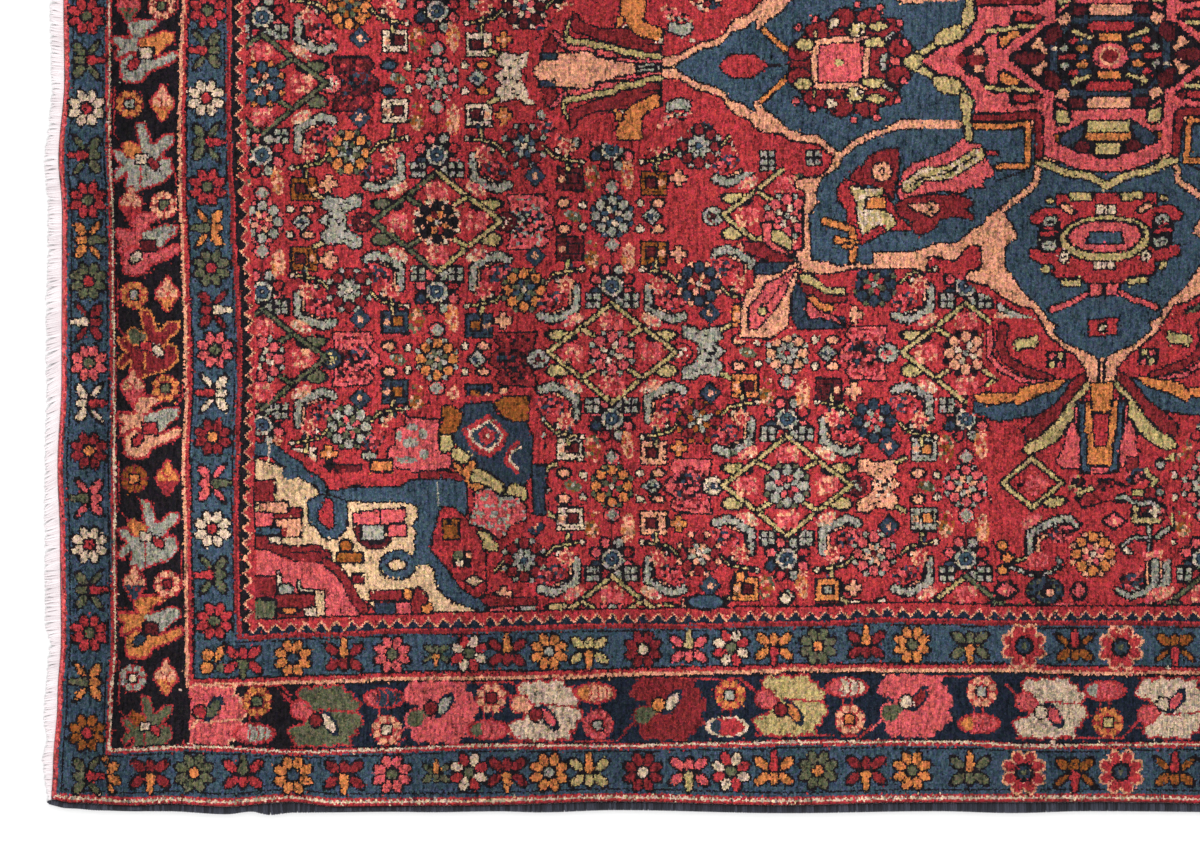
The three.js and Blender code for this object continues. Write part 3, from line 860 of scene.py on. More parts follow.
def rosetteUnit(layer, x, y, petal, tip, inner, heart, body, eye):
    # a large rosette with four hooked squares and the small things between them
    bodies = body if isinstance(body, tuple) else (body, body)
    p = Patch(layer, x, y, (92, 66))
    for sy in (-1, 1):
        p.lay(p.path(1.8, 0, sy * 34, 0, sy * 58), ("burgundy", 0))
        p.dust(p.oval(-20, sy * 38, 8, 14), ("moss", "crimson", "salmon", "crimson", "rust", "crimson"), 21)
        p.dust(p.oval(16, sy * 42, 7, 15), ("crimson", "orange", "crimson", "salmon", "crimson"), 22)
        p.lay(abs(p.oval(17, sy * 36, 3.4, 7)) - 0.9, ("salmon", 0.1))
        p.lay(p.path(1.6, 20, sy * 50, 12, sy * 55, 16, sy * 46), ("salmon", 0.1))
        p.ink(p.oval(0, sy * 29, 6.6, 6), "rose")
        p.lay(p.diamond(0, sy * 29, 6.4, 6.4), ("silver", 0.3))
        for side in (-1, 1):
            square(p, 42 * side, sy * 35 + 2 * side, bodies[side > 0], eye, -side)
            p.lay(p.path(4.6, 42 * side, sy * 49, 44 * side, sy * 58), ("ink", 1), ("slate", 0))
        p.ink(p.oval(-29, sy * 11, 3, 3), "ivory")
        p.ink(p.oval(28, sy * 13, 3, 3), "ivory")
        p.ink(p.oval(46, sy * 13, 5, 3), "salmon" if body != "ivory" else "orange")
        p.ink(p.oval(-48, sy * 13, 6, 4.4), "steel" if body == "ivory" else "salmon", -0.4)
        cross = nearest(p.box(66.5, sy * 38, 7.4, 2.2), p.box(66.5, sy * 38, 2.2, 7.4))
        p.ink(cross, "orange" if "ivory" in bodies else "salmon", 0.6)
        p.lay(p.oval(66.5, sy * 38, 2.4, 2.4), ("salmon", 0))
        p.lay(p.diamond(-77, sy * 40, 11, 11), ("ink", 1), ("slate", -0.6))
        p.lay(p.oval(-77, sy * 40, 2.4, 3), ("salmon", 0.4))
    p.dust(p.oval(-39, 0, 9, 5, 20), ("moss", "silver", "ink", "moss", "rust"), 31)
    p.ink(p.diamond(40, 0, 9, 8), "silver", 0)
    p.dust(p.diamond(40, 0, 6, 5), ("ink", "silver", "slate"), 32)
    ring(p, petal, tip, inner, heart, 21)


def broadLeaf(layer, x, y, side, kind, yarn, other, flower, middle):
    # a leaf whose flower points to the diamond
    p = Patch(layer, x, y, (36, 36), 0, (side, 1))
    if kind == "wings":
        body = p.shape(-20, -27, -10, -26, -4, -22, 16, -26, 19, -15, 10, -10, 22, -2, 12, 6, 20, 12,
                       17, 23, -3, 20, -10, 26, -20, 25, -20, 15, -10, 11, -4, 4, -5, -4, -2, -8,
                       -12, -14, -20, -16)
        p.ink(body, yarn, 0.1)
        p.dust(np.maximum(body + 2, p.box(2, 0, 12, 12)), (yarn, yarn, "ink", other, yarn), 41)
        p.lay(p.path(1, -12, -21, 4, -17), ("ink", 0))
        p.lay(p.path(1, -12, 20, 6, 14), ("ink", 0))
        p.ink(p.path(3, 19, -24, 27, -28), "gold")
        p.ink(p.path(3, 19, 21, 27, 25), "gold")
    elif kind == "bell":
        body = p.shape(-20, -26, 16, -26, 20, -18, 14, -12, 24, -4, 26, 4, 14, 11, 20, 18, 15, 25,
                       -20, 27, -17, 14, -19, 0, -17, -14)
        p.ink(body, yarn, 0.1)
        p.dust(np.maximum(body + 2.4, 7 - abs(p.y)), (yarn, yarn, yarn, "crimson", other, "ink"), 42)
        p.dust(p.oval(2, 0, 17, 13), (yarn, "ink", other, "slate", "ink", yarn, "ink"), 43)
        p.lay(p.path(1.6, -16, -10, -4, -3, -16, 10), (other, 0.2))
    flowerX = -22
    p.ink(p.oval(flowerX, 0, 9.6, 8.6), flower)
    p.dust(abs(p.oval(flowerX, 0, 6, 5)) - 1, (flower, "ink", flower, middle), 44)
    p.lay(p.oval(flowerX, 0, 2.6, 2.6), ("ink", 0.8), (middle, 0))


def fieldPlaces():
    # column, row and place of everything in the net
    for column, x in enumerate(fieldColumns):
        for row, y in enumerate(fieldRows):
            low = column < sag["columns"] and y > sag["from"] + sag["perColumn"] * column
            yield column, row, x, y + (sag["drop"] if low else 0)


def keepInside(layer):
    # a layer cut off at the sawtooth
    field, byEnd = fromSides("field")
    layer[field <= np.where(byEnd, sawtooth["bandEnd"], sawtooth["lineEnd"])] = bare
    return layer


def weaveField(chart):
    # every place of the net, drawn over the plain field
    layer = freshLayer()
    for column, row, x, y in fieldPlaces():
        wide = middleHalf if column == beforeMiddle else fieldHalf[0]
        ring(Patch(layer, x + wide, y + fieldHalf[1] + 1, 30), *yarnsAt(wheelYarns, column, row))
        floret(layer, x, y - fieldHalf[1])
    for column, row, x, y in fieldPlaces():
        if isRosette(column, row):
            rosetteUnit(layer, x, y, *yarnsAt(rosetteYarns, column, row))
        side, past = (-1, -8) if isRosette(column, row) else (1, 4)
        broadLeaf(layer, x + fieldHalf[0] + past, y, side, *yarnsAt(leafYarns, column, row))
    for column, row, x, y in fieldPlaces():
        if not isRosette(column, row):
            diamondUnit(layer, x, y, *yarnsAt(diamondYarns, column, row))
    merge(chart, keepInside(layer))


weaveField(chart)
print("field woven")


# The medallion as its lower left quarter shows in the photograph. Rows of form, yarn (or several,
# scattered), ink rim and the sizes at each place; the lower ones come first. An oval, box or diamond
# has x, y and half sizes, a shape x, y, x, y; a path has its width before them, a taper two widths.
medallion = {"skewX": 0.025, "skewY": 0.026, "left": 528, "right": 1116, "top": 48, "bottom": 478}
clearGround = (
    ("shape", "crimson", 0, (524, 50, 524, 74, 530, 96, 548, 116, 560, 134, 600, 140, 620, 146, 668, 146,
        700, 120, 728, 132, 742, 172, 754, 172, 757, 163.4, 780, 163.4, 786, 174, 836, 174, 838, 180,
        806, 200, 806, 262, 936, 262, 1000, 300, 1112, 352, 1112, 48), (998, 316, 986, 330, 984, 362,
        1002, 380, 970, 390, 966, 410, 1000, 424, 1018, 452, 1050, 470, 1070, 476, 1112, 476, 1112, 320),
        (748, 270, 796, 262, 860, 268, 848, 332, 796, 334, 770, 342, 738, 340)),
)
outline = (
    ("shape", "salmon", 2, (664, 40, 664, 77, 682, 78, 690, 84, 699, 89, 709, 91, 725, 97, 732, 110,
        741, 116, 749, 118, 755, 126, 763, 132, 782, 133, 787, 139, 800, 141, 816, 143, 826, 151,
        832, 156, 831, 164, 822, 175, 815, 178, 797, 180, 795, 186, 806, 191, 806, 250, 797, 252,
        801, 262, 806, 272, 830, 273, 860, 267, 873, 266, 916, 266, 927, 270, 929, 255, 933, 253,
        948, 257, 957, 258, 970, 242, 976, 242, 983, 244, 985, 263, 982, 269, 972, 270, 967, 277,
        989, 283, 999, 290, 1007, 296, 1020, 303, 1035, 306, 1043, 318, 1049, 330, 1056, 337, 1067, 347,
        1077, 352, 1084, 361, 1089, 368, 1090, 381, 1118, 381, 1118, 40)),
    ("shape", "steel", 1.6, (676, 60, 679, 69, 700, 81, 709, 84, 716, 85, 725, 90, 733, 99, 746, 103,
        754, 110, 755, 100, 763, 100, 766, 109, 778, 117, 787, 127, 800, 133, 816, 133, 826, 142,
        838, 151, 846, 143, 866, 129, 885, 125, 900, 117, 959, 118, 966, 118, 1112, 118, 1112, 40),
        (842, 158, 860, 144, 868, 139, 879, 135, 896, 129, 911, 128, 961, 126, 968, 126, 1040, 126,
        1040, 158, 1036, 171, 1033, 184, 1016, 195, 1003, 203, 986, 214, 982, 223, 975, 225, 958, 240,
        936, 241, 921, 247, 911, 249, 874, 249, 873, 261, 860, 262, 843, 265, 830, 261, 814, 259,
        812, 215, 819, 205, 818, 192, 822, 178, 838, 168), (1036, 164, 1039, 172, 1036, 185, 1024, 196,
        1008, 208, 1007, 215, 1014, 223, 1020, 231, 1019, 238, 1008, 245, 1008, 265, 1019, 279, 1026, 290,
        1039, 301, 1046, 309, 1051, 318, 1060, 323, 1056, 330, 1064, 338, 1075, 344, 1090, 350, 1099, 355,
        1102, 358, 1118, 358, 1118, 164)),
    ("shape", "steel", 1.4, (962, 126, 1036, 126, 1036, 162, 1012, 172, 994, 178, 966, 142)),
    ("box", "ink", 0, (1103, 369, 4.6, 12)),
    ("box", "salmon", 0, (1103, 369, 1.3, 12)),
    ("path", "ink", 0, (2, 664, 68, 679, 68)),
)
westPalmette = (
    ("shape", "crimson", 1.6, (721, 65, 734, 55, 749, 50, 760, 52, 773, 63, 762, 71, 753, 77, 734, 77,
        725, 71)),
    ("path", "orange", 1.2, (2, 773, 64, 806, 61)),
    ("path", "orange", 1.3, (4, 763, 101, 780, 86, 806, 61, 780, 36)),
    ("oval", "madder", 1.8, (850, 62, 58, 50)),
    ("oval", "madder", 1.8, *((850 + 52 * math.cos(turn), 62 + 46 * math.sin(turn), 11, 9)
                              for turn in (0.25, 0.75, 1.25, 1.75, 2.25, 2.8))),
    ("oval", "rose", 1.2, (798, 101, 3, 3), (813, 109, 3, 3), (854, 120, 3, 3), (877, 116, 3, 3),
        (898, 98, 3, 3), (905, 79, 3, 3)),
    ("path", "ink", 0, (1.6, 832, 90, 836, 112), (1.6, 866, 92, 870, 112), (1.6, 884, 80, 902, 92),
        (1.6, 816, 78, 796, 88), (1.4, 878, 62, 908, 62)),
    ("box", "salmon", 1.6, (841.5, 61, 28, 27)),
    ("box", "rose", 1.6, (841.5, 61, 21.5, 20.5)),
    ("oval", "gold", 0, (841, 61, 5, 5)),
    ("oval", "ink", 0, (845, 60, 2, 4)),
    ("oval", "gold", 1.4, (805, 84, 8.5, 5.5)),
    ("oval", "ivory", 1.4, (832, 103, 4.4, 5)),
    ("oval", ("ivory", "gold", "ink", "gold"), 1.4, (856, 95, 9, 7)),
    ("oval", "gold", 1.4, (877, 97, 8.4, 3.6), (875, 81, 11, 4.4)),
    ("path", "silver", 1, (2.4, 886, 84, 893, 88)),
    ("oval", "rose", 1.2, (897, 59, 5, 5)),
    ("oval", "silver", 1.2, (885, 65, 3, 4)),
    ("path", "gold", 0.8, (1.6, 816, 91, 816, 97)),
)
cartouche = (
    ("taper", "gold", 1.4, (6, 5, 916, 66, 926, 69, 936, 76)),
    ("oval", "gold", 1.6, (915, 60, 9, 6.5)),
    ("shape", "gold", 1.4, (935, 75, 948, 76, 962, 80, 966, 92, 956, 93, 942, 90, 936, 83), (961, 90,
        970, 95, 973, 103, 970, 110, 970, 139, 964, 140, 963, 110, 960, 103)),
    ("shape", "rose", 1.8, (925, 60, 941, 71, 961, 75, 968, 82, 974, 97, 977, 98, 976, 111, 1010, 111,
        1036, 109, 1043, 112, 1043, 155, 1056, 160, 1075, 168, 1095, 171, 1112, 171, 1112, 40, 930, 40)),
    ("shape", "ink", 0, (955, 57, 965, 71, 978, 76, 985, 87, 992, 92, 1008, 92, 1010, 104, 1020, 106,
        1035, 103, 1044, 98, 1044, 90, 1053, 92, 1053, 124, 1056, 127, 1066, 126, 1071, 121, 1071, 110,
        1112, 110, 1112, 40, 960, 40), (1112, 120, 1086, 119, 1078, 124, 1064, 131, 1052, 133, 1053, 142,
        1060, 146, 1070, 150, 1076, 153, 1090, 153, 1093, 158, 1112, 159)),
    ("shape", "rose", 0, (985, 66, 990, 60, 985, 50, 1004, 50, 1009, 60, 1043, 88, 1042, 94, 1004, 67,
        997, 70, 996, 83, 991, 83, 985, 75)),
    ("oval", "burgundy", 1.4, (1029, 56, 17, 7.6)),
    ("oval", "madder", 0, (961, 58, 5, 7)),
    ("shape", "madder", 0, (968, 50, 975, 54, 984, 53, 988, 57, 980, 63, 974, 66, 968, 62)),
    ("box", "salmon", 0, (979.5, 67, 4, 3.2)),
    ("path", "gold", 0, (3.4, 987, 86, 1006, 88, 1034, 90)),
    ("shape", "orange", 0, (1000, 72, 1004, 71, 1010, 76, 1019, 80, 1017, 85, 1008, 83, 1001, 79)),
    ("oval", "crimson", 0, (1022, 98, 9, 4)),
    ("oval", "madder", 0, (1036, 98, 4, 3.4)),
    ("shape", "salmon", 0, (1047, 60, 1046, 65, 1043, 68, 1042, 77, 1038, 76, 1031, 69, 1038, 66,
        1043, 61)),
    ("shape", "slate", 0, (1050, 40, 1057, 40, 1057, 72, 1072, 91, 1112, 91, 1112, 98, 1069, 98,
        1051, 77)),
    ("box", "slate", 0, (1085, 54, 5.6, 6)),
    ("oval", "slate", 0, (1084, 72, 7, 4.6)),
    ("box", "crimson", 1, (1066.5, 54.5, 8.4, 5.4)),
    ("oval", "silver", 0, (1064.5, 65.5, 4, 3.4)),
    ("oval", "orange", 0.8, (1082, 65, 5.6, 3.2)),
    ("oval", "crimson", 0, (1073.5, 72.5, 4, 3.2)),
    ("taper", "gold", 1, (5, 2, 1073, 82, 1081, 79, 1093, 75)),
    ("box", "orange", 1.2, (1108, 75, 10.6, 3.6)),
    ("shape", "crimson", 1.2, (1091, 81, 1112, 81, 1112, 90, 1087, 90, 1087, 86)),
    ("oval", "rose", 1.6, (1110.5, 57, 18, 12)),
    ("oval", "salmon", 0, (1110.5, 57, 10.6, 8.6)),
    ("oval", "madder", 0, (1110.5, 57, 8.4, 5.6)),
    ("shape", "burgundy", 1.2, (1046, 70, 1053, 72, 1061, 79, 1058, 91, 1045, 84)),
    ("shape", "salmon", 1, (1064, 87, 1069, 92, 1068, 97, 1066, 101, 1055, 96, 1057, 93)),
    ("path", "rose", 0, (2.4, 1058, 104, 1066, 108)),
    ("shape", "burgundy", 1.2, (1069, 98, 1081, 98, 1084, 104, 1082, 108, 1072, 107)),
    ("box", "salmon", 1.6, (1107, 103, 19, 5)),
    ("box", "gold", 1.4, (1061.5, 117, 5.8, 5.6)),
    ("shape", "slate", 0, (1060, 137, 1068, 131, 1078, 125, 1083, 126, 1080, 135, 1073, 145, 1066, 146,
        1059, 143)),
    ("oval", "rust", 0, (1055, 138, 2, 3)),
    ("box", "gold", 1.4, (1107, 126.5, 20.6, 4.6)),
    ("box", "orange", 1.4, (1105, 137, 20.4, 3.6)),
    ("oval", "burgundy", 1.4, (1081, 147, 7, 5)),
    ("box", "gold", 1.6, (1106, 149, 12, 5.6)),
    ("path", "gold", 1.5, (6, 1037, 163, 1049, 166, 1064, 173, 1087, 176, 1107, 186, 1112, 184)),
    ("path", "madder", 1.5, (6.6, 976, 116, 1037, 116, 1037, 156)),
    ("path", "orange", 1.2, (5, 974, 124, 1026, 124, 1026, 164, 996, 165)),
    ("path", "salmon", 1.4, (5, 1036, 170, 1034, 184, 1018, 196, 1004, 207)),
    ("shape", "salmon", 0, (900, 118, 960, 119, 960, 126, 900, 127)),
)
westLeaves = (
    ("shape", "madder", 1.8, (862, 164, 868, 155, 880, 149, 896, 147, 897, 160, 894, 184, 893, 197,
        884, 188, 870, 182, 860, 184, 846, 182, 851, 174)),
    ("oval", "salmon", 1.5, (880, 170, 9, 9)),
    ("oval", "ink", 0, (880, 169, 3.4, 3.4)),
    ("oval", "salmon", 0, (880, 170, 1.4, 1.4)),
    ("shape", "crimson", 1.6, (862, 186, 846, 180, 838, 188, 839, 200, 850, 210, 848, 226, 862, 243,
        877, 235, 888, 229, 915, 228, 900, 216, 890, 200, 884, 190)),
    ("shape", ("ivory", "gold"), 1.5, (850, 187, 882, 187, 882, 192, 864, 197, 868, 207, 884, 209,
        894, 214, 898, 222, 890, 228, 882, 222, 874, 226, 864, 233, 860, 222, 858, 205)),
    ("oval", "gold", 0, (888, 219, 4.4, 4.4)),
    ("box", "orange", 1.4, (876, 201, 9, 5)),
    ("path", "orange", 1.5, (6, 826, 221, 836, 224, 853, 229, 856, 242, 854, 260)),
    ("path", "orange", 1.4, (6, 854, 243, 839, 240)),
    ("path", "orange", 1, (4, 852, 246, 846, 246)),
    ("shape", "rose", 1.6, (898, 194, 899, 184, 902, 170, 912, 162, 926, 158, 945, 150, 955, 142,
        962, 137, 966, 142, 978, 143, 984, 151, 984, 159, 991, 168, 992, 174, 979, 177, 984, 186,
        972, 184, 962, 190, 940, 189, 920, 192, 901, 198)),
    ("path", ("gold", "ivory", "gold"), 1.6, (12, 908, 184, 922, 173, 946, 171, 976, 153)),
    ("path", "ink", 0, (1.8, 910, 184, 924, 175, 930, 175), (1.8, 937, 173, 947, 171, 956, 166),
        (1.8, 962, 162, 974, 155), (1.4, 910, 183, 916, 179), (1.4, 920, 176, 934, 174), (1.4, 936, 170,
        948, 169), (1.4, 952, 166, 972, 155)),
    ("path", "crimson", 1, (3, 986, 151, 995, 151)),
    ("shape", "madder", 1.6, (896, 203, 908, 196, 930, 194, 955, 193, 973, 199, 972, 203, 964, 207,
        973, 214, 972, 218, 960, 214, 948, 215, 940, 218, 936, 226, 922, 233, 916, 230, 914, 220,
        900, 212)),
    ("shape", "salmon", 1.3, (909, 202, 922, 203, 932, 201, 938, 203, 938, 209, 932, 215, 924, 211,
        912, 207)),
    ("box", "ink", 0, (931, 207, 2, 2)),
)
southPalmette = (
    ("shape", "crimson", 1.8, (1106, 194, 1096, 193, 1092, 201, 1070, 202, 1066, 195, 1057, 195,
        1056, 202, 1060, 208, 1040, 209, 1030, 215, 1032, 221, 1040, 223, 1042, 247, 1032, 248, 1033, 256,
        1042, 261, 1057, 261, 1055, 272, 1060, 276, 1082, 276, 1088, 282, 1114, 282, 1114, 193)),
    ("shape", "ink", 0, (1040, 222, 1046, 215, 1056, 214, 1060, 220, 1061, 248, 1056, 252, 1044, 252,
        1041, 248)),
    ("path", "crimson", 0, (3, 1042, 233, 1056, 233), (1.6, 1044, 226, 1054, 229)),
    ("oval", "silver", 0, (1050, 221, 7, 4.4)),
    ("oval", "ink", 0, (1050, 222, 4.2, 1.6)),
    ("oval", "silver", 0, (1050.5, 244, 7, 4.6)),
    ("oval", "ink", 0, (1050.5, 244, 4.4, 1.2)),
    ("oval", "salmon", 1.8, (1068, 209, 6, 3, 32)),
    ("oval", "ivory", 1.6, (1066, 256.5, 4.6, 4.6)),
    ("oval", "ink", 0, (1066, 256.5, 1.8, 1.8)),
    ("oval", "gold", 1.6, (1105.5, 238.5, 43.5, 22.4)),
    ("oval", "rose", 2, (1101, 236.5, 29.5, 14.5)),
    ("box", "steel", 1.6, (1103, 238, 13.4, 5.4)),
    ("box", "ink", 0, (1105, 209, 10, 6)),
    ("box", "ivory", 0, (1100.5, 209.5, 3.4, 4), (1109, 209.5, 3.4, 4)),
    ("box", "ink", 0, (1104, 265, 10, 5.6)),
    ("box", "ivory", 0, (1099, 265.5, 3.4, 3.4), (1108, 265.5, 3.4, 3.4)),
    ("box", "gold", 1.4, (1081, 197, 10.4, 3.4), (1073, 282, 9.4, 2.6)),
    ("oval", "gold", 1, (1050, 201, 3, 2.6), (1047.5, 267.5, 3.2, 3.6)),
    ("box", "rose", 1.5, (1097, 289.5, 5.2, 4.6), (1109, 289.5, 3, 4.6)),
    ("taper", "rose", 1.2, (3, 5.4, 1089, 292, 1073, 301, 1053, 308)),
    ("box", "crimson", 1.8, (1106, 326, 15.6, 7.6)),
    ("oval", "ivory", 2, (1104, 326, 2.6, 2.6)),
)
southPendant = (
    ("taper", "madder", 1.4, (8.6, 6, 1005, 326, 1002, 344, 1008, 358, 1024, 368, 1052, 377)),
    ("taper", "rose", 1.3, (4.6, 3, 992, 330, 991, 354, 1002, 367, 1022, 378, 1050, 381)),
    ("shape", "gold", 1.5, (1015, 342, 1019, 338, 1033, 336, 1038, 334, 1040, 340, 1036, 346, 1025, 346,
        1019, 349)),
    ("box", "ink", 0, (1058, 358, 10, 9)),
    ("oval", "rose", 0, (1054, 354, 3.2, 3)),
    ("oval", "gold", 0, (1062, 354, 2.8, 3.2), (1054, 363, 2.6, 3)),
    ("oval", "rose", 0, (1062, 363, 3.2, 3)),
    ("shape", "steel", 1.6, (974, 400, 987, 403, 1018, 403, 1035, 397, 1054, 386, 1068, 378, 1073, 380,
        1064, 392, 1050, 404, 1037, 413, 1016, 416, 999, 419, 982, 414, 974, 408)),
    ("shape", "orange", 1.4, (975, 394, 988, 391, 1018, 393, 1022, 387, 1037, 383, 1061, 378, 1067, 379,
        1057, 387, 1040, 392, 1026, 399, 1018, 403, 1014, 399, 990, 403, 977, 399)),
    ("shape", "madder", 1.5, (1080, 375, 1087, 372, 1088, 380, 1076, 391, 1064, 403, 1057, 418, 1047, 424,
        1038, 435, 1025, 438, 1024, 428, 1033, 421, 1040, 413, 1057, 402, 1066, 390, 1073, 381)),
    ("shape", "gold", 1.5, (1089, 380, 1075, 394, 1066, 406, 1062, 413, 1056, 421, 1042, 433, 1026, 442,
        1021, 449, 1028, 452, 1040, 447, 1057, 437, 1062, 432, 1068, 421, 1073, 416, 1074, 400, 1083, 394,
        1091, 384)),
    ("path", "rose", 0.8, (2, 1085, 399, 1078, 404, 1076, 420)),
    ("shape", "rose", 1.5, (1072, 421, 1077, 424, 1078, 460, 1077, 466, 1060, 465, 1055, 459, 1062, 448,
        1066, 432)),
    ("box", "steel", 1.8, (1100, 436, 20, 34)),
    ("box", "rose", 1.2, (1100, 468, 10, 2.4)),
    ("box", "orange", 1.6, (1099, 432, 13, 30.5)),
    ("box", "crimson", 1.8, (1099, 428, 5, 16)),
    ("box", "orange", 1.6, (1100, 394, 7.6, 12)),
    ("box", "orange", 0, (1100, 406, 7, 3)),
)
westPendant = (
    ("path", "ink", 0, (3.4, 663, 60, 663, 106)),
    ("shape", "madder", 1.5, (571, 127, 570, 118, 573, 109, 595, 100, 617, 94, 623, 90, 638, 88, 645, 83,
        661, 84, 661, 94, 638, 98, 635, 103, 628, 106, 615, 107, 597, 109, 586, 113, 577, 118, 575, 125)),
    ("path", "ink", 0, (1.4, 645, 90, 661, 90)),
    ("shape", "orange", 1.6, (634, 104, 645, 98, 661, 94, 661, 106, 649, 109, 641, 115, 641, 136,
        633, 138, 617, 137, 616, 129, 620, 121, 625, 117, 627, 111)),
    ("shape", "orange", 1.4, (616, 108, 621, 112, 622, 118, 616, 119)),
    ("oval", "ivory", 0, (624, 109.5, 1.6, 1.6)),
    ("shape", "salmon", 1.6, (537, 68, 537, 73, 543, 80, 556, 80, 559, 86, 573, 87, 594, 85, 598, 80,
        628, 74, 637, 71, 637, 60, 545, 60)),
    ("box", "slate", 1.2, (551, 84, 7.4, 2.6)),
    ("shape", "madder", 1.5, (545, 88, 558, 89, 559, 98, 552, 107, 546, 98)),
    ("path", "gold", 1.4, (5.4, 567, 101, 575, 97, 587, 95, 597, 92, 614, 90, 620, 85, 643, 82, 646, 78,
        661, 78)),
    ("taper", "gold", 1.2, (3, 1.6, 565, 105, 568, 120)),
    ("taper", "rose", 1, (4, 3, 571, 91, 564, 96, 554, 107), (4, 2, 572, 92, 584, 90, 596, 87)),
    ("shape", "rose", 1.3, (598, 87, 600, 83, 612, 80, 618, 80, 616, 85, 604, 87)),
    ("path", "rose", 1, (2, 619, 77, 634, 75, 642, 75, 661, 73)),
    ("path", "silver", 0.6, (1.6, 640, 70, 661, 69)),
    ("shape", "silver", 1.5, (669, 104, 676, 100, 681, 98, 690, 101, 692, 106, 690, 112, 680, 108,
        669, 112)),
    ("taper", ("rose", "ink", "salmon", "silver"), 0, (5, 3, 664, 119, 676, 115, 690, 113)),
    ("taper", ("rose", "salmon", "ink", "rose"), 0, (6, 3, 660, 126, 672, 122, 686, 118)),
)
cornerLeaves = (
    ("shape", "salmon", 1.6, (801, 263, 792, 265, 782, 273, 758, 275, 757, 288, 749, 291, 744, 309,
        742, 337, 772, 338, 789, 326, 792, 300, 797, 282)),
    ("shape", "rose", 1.4, (799, 267, 778, 280, 768, 284, 761, 297, 751, 307, 751, 328, 759, 328,
        778, 307, 787, 291, 791, 280)),
    ("path", "ink", 0, (1.4, 790, 276, 766, 308)),
    ("oval", "gold", 1.4, (764, 311, 4, 4)),
    ("shape", "slate", 1.4, (756, 268, 760, 264, 791, 263, 782, 272, 758, 274)),
    ("shape", "madder", 1.5, (745, 242, 764, 242, 776, 251, 795, 261, 772, 261, 747, 251)),
    ("shape", "rose", 1.2, (764, 224, 774, 224, 776, 244, 794, 256, 776, 250, 766, 242)),
    ("shape", "gold", 1.4, (774, 230, 784, 232, 793, 240, 793, 250, 780, 243, 774, 240)),
    ("shape", "slate", 1.4, (798, 284, 806, 290, 807, 312, 818, 317, 846, 318, 846, 328, 800, 328,
        794, 316, 794, 296)),
    ("shape", "madder", 1.4, (803, 284, 812, 286, 826, 294, 848, 294, 847, 302, 826, 302, 806, 292)),
    ("shape", "gold", 1.4, (802, 275, 814, 276, 828, 288, 846, 288, 846, 294, 830, 294, 812, 284,
        803, 282)),
    ("path", "orange", 1.2, (6, 814, 299, 822, 306, 832, 308)),
    ("shape", "rose", 1.3, (808, 304, 812, 302, 820, 312, 836, 316, 846, 326, 832, 319, 810, 317)),
)


def layForms(p, forms):
    for form, yarn, rim, *places in forms:
        for sizes in places:
            distance = getattr(p, form)(*sizes)
            if rim:
                p.lay(distance, ("ink", max(rim, 1.6) * 1.25))
            if isinstance(yarn, tuple):
                p.dust(distance, yarn, 17)
            else:
                p.lay(distance, (yarn, 0))


def photoPatch(layer, left, right, top, bottom):
    # a window that is read in the photograph's own pixels
    x, y = (left + right) / 2, (top + bottom) / 2
    p = Patch(layer, x, y, ((right - left) / 2, (bottom - top) / 2))
    p.x += x
    p.y += y
    return p


def nearestKnots(x, y):
    # the layer's row and column at places given in the photograph's pixels
    col, row = lattice(x, y)
    return np.clip(row.astype(int), 0, rows - 1), np.clip(col.astype(int), 0, columns - 1)


def weaveMedallion(chart):
    # one quarter is drawn, and the other three are read from it, leaning as the weaver let it lean
    layer = freshLayer()
    p = photoPatch(layer, *(medallion[side] for side in ("left", "right", "top", "bottom")))
    for forms in (clearGround, outline, westPalmette, cartouche, westLeaves, southPalmette, southPendant,
                  westPendant, cornerLeaves):
        layForms(p, forms)
    for x, y in ((766, 158), (812, 158)):
        dots(p, x, y)
    x, y = knotX - photo["middleX"], knotY - photo["middleY"]
    x, y = abs(x + medallion["skewX"] * y), abs(y + medallion["skewY"] * x)
    place = nearestKnots(photo["middleX"] - x - medallion["skewX"] * y,
                         photo["middleY"] + y + medallion["skewY"] * x)
    inside = (x < photo["middleX"] - medallion["left"]) & (y < medallion["bottom"] - photo["middleY"])
    drawn = inside & (layer[place] != bare)
    chart[drawn] = layer[place][drawn]


weaveMedallion(chart)
print("medallion woven")


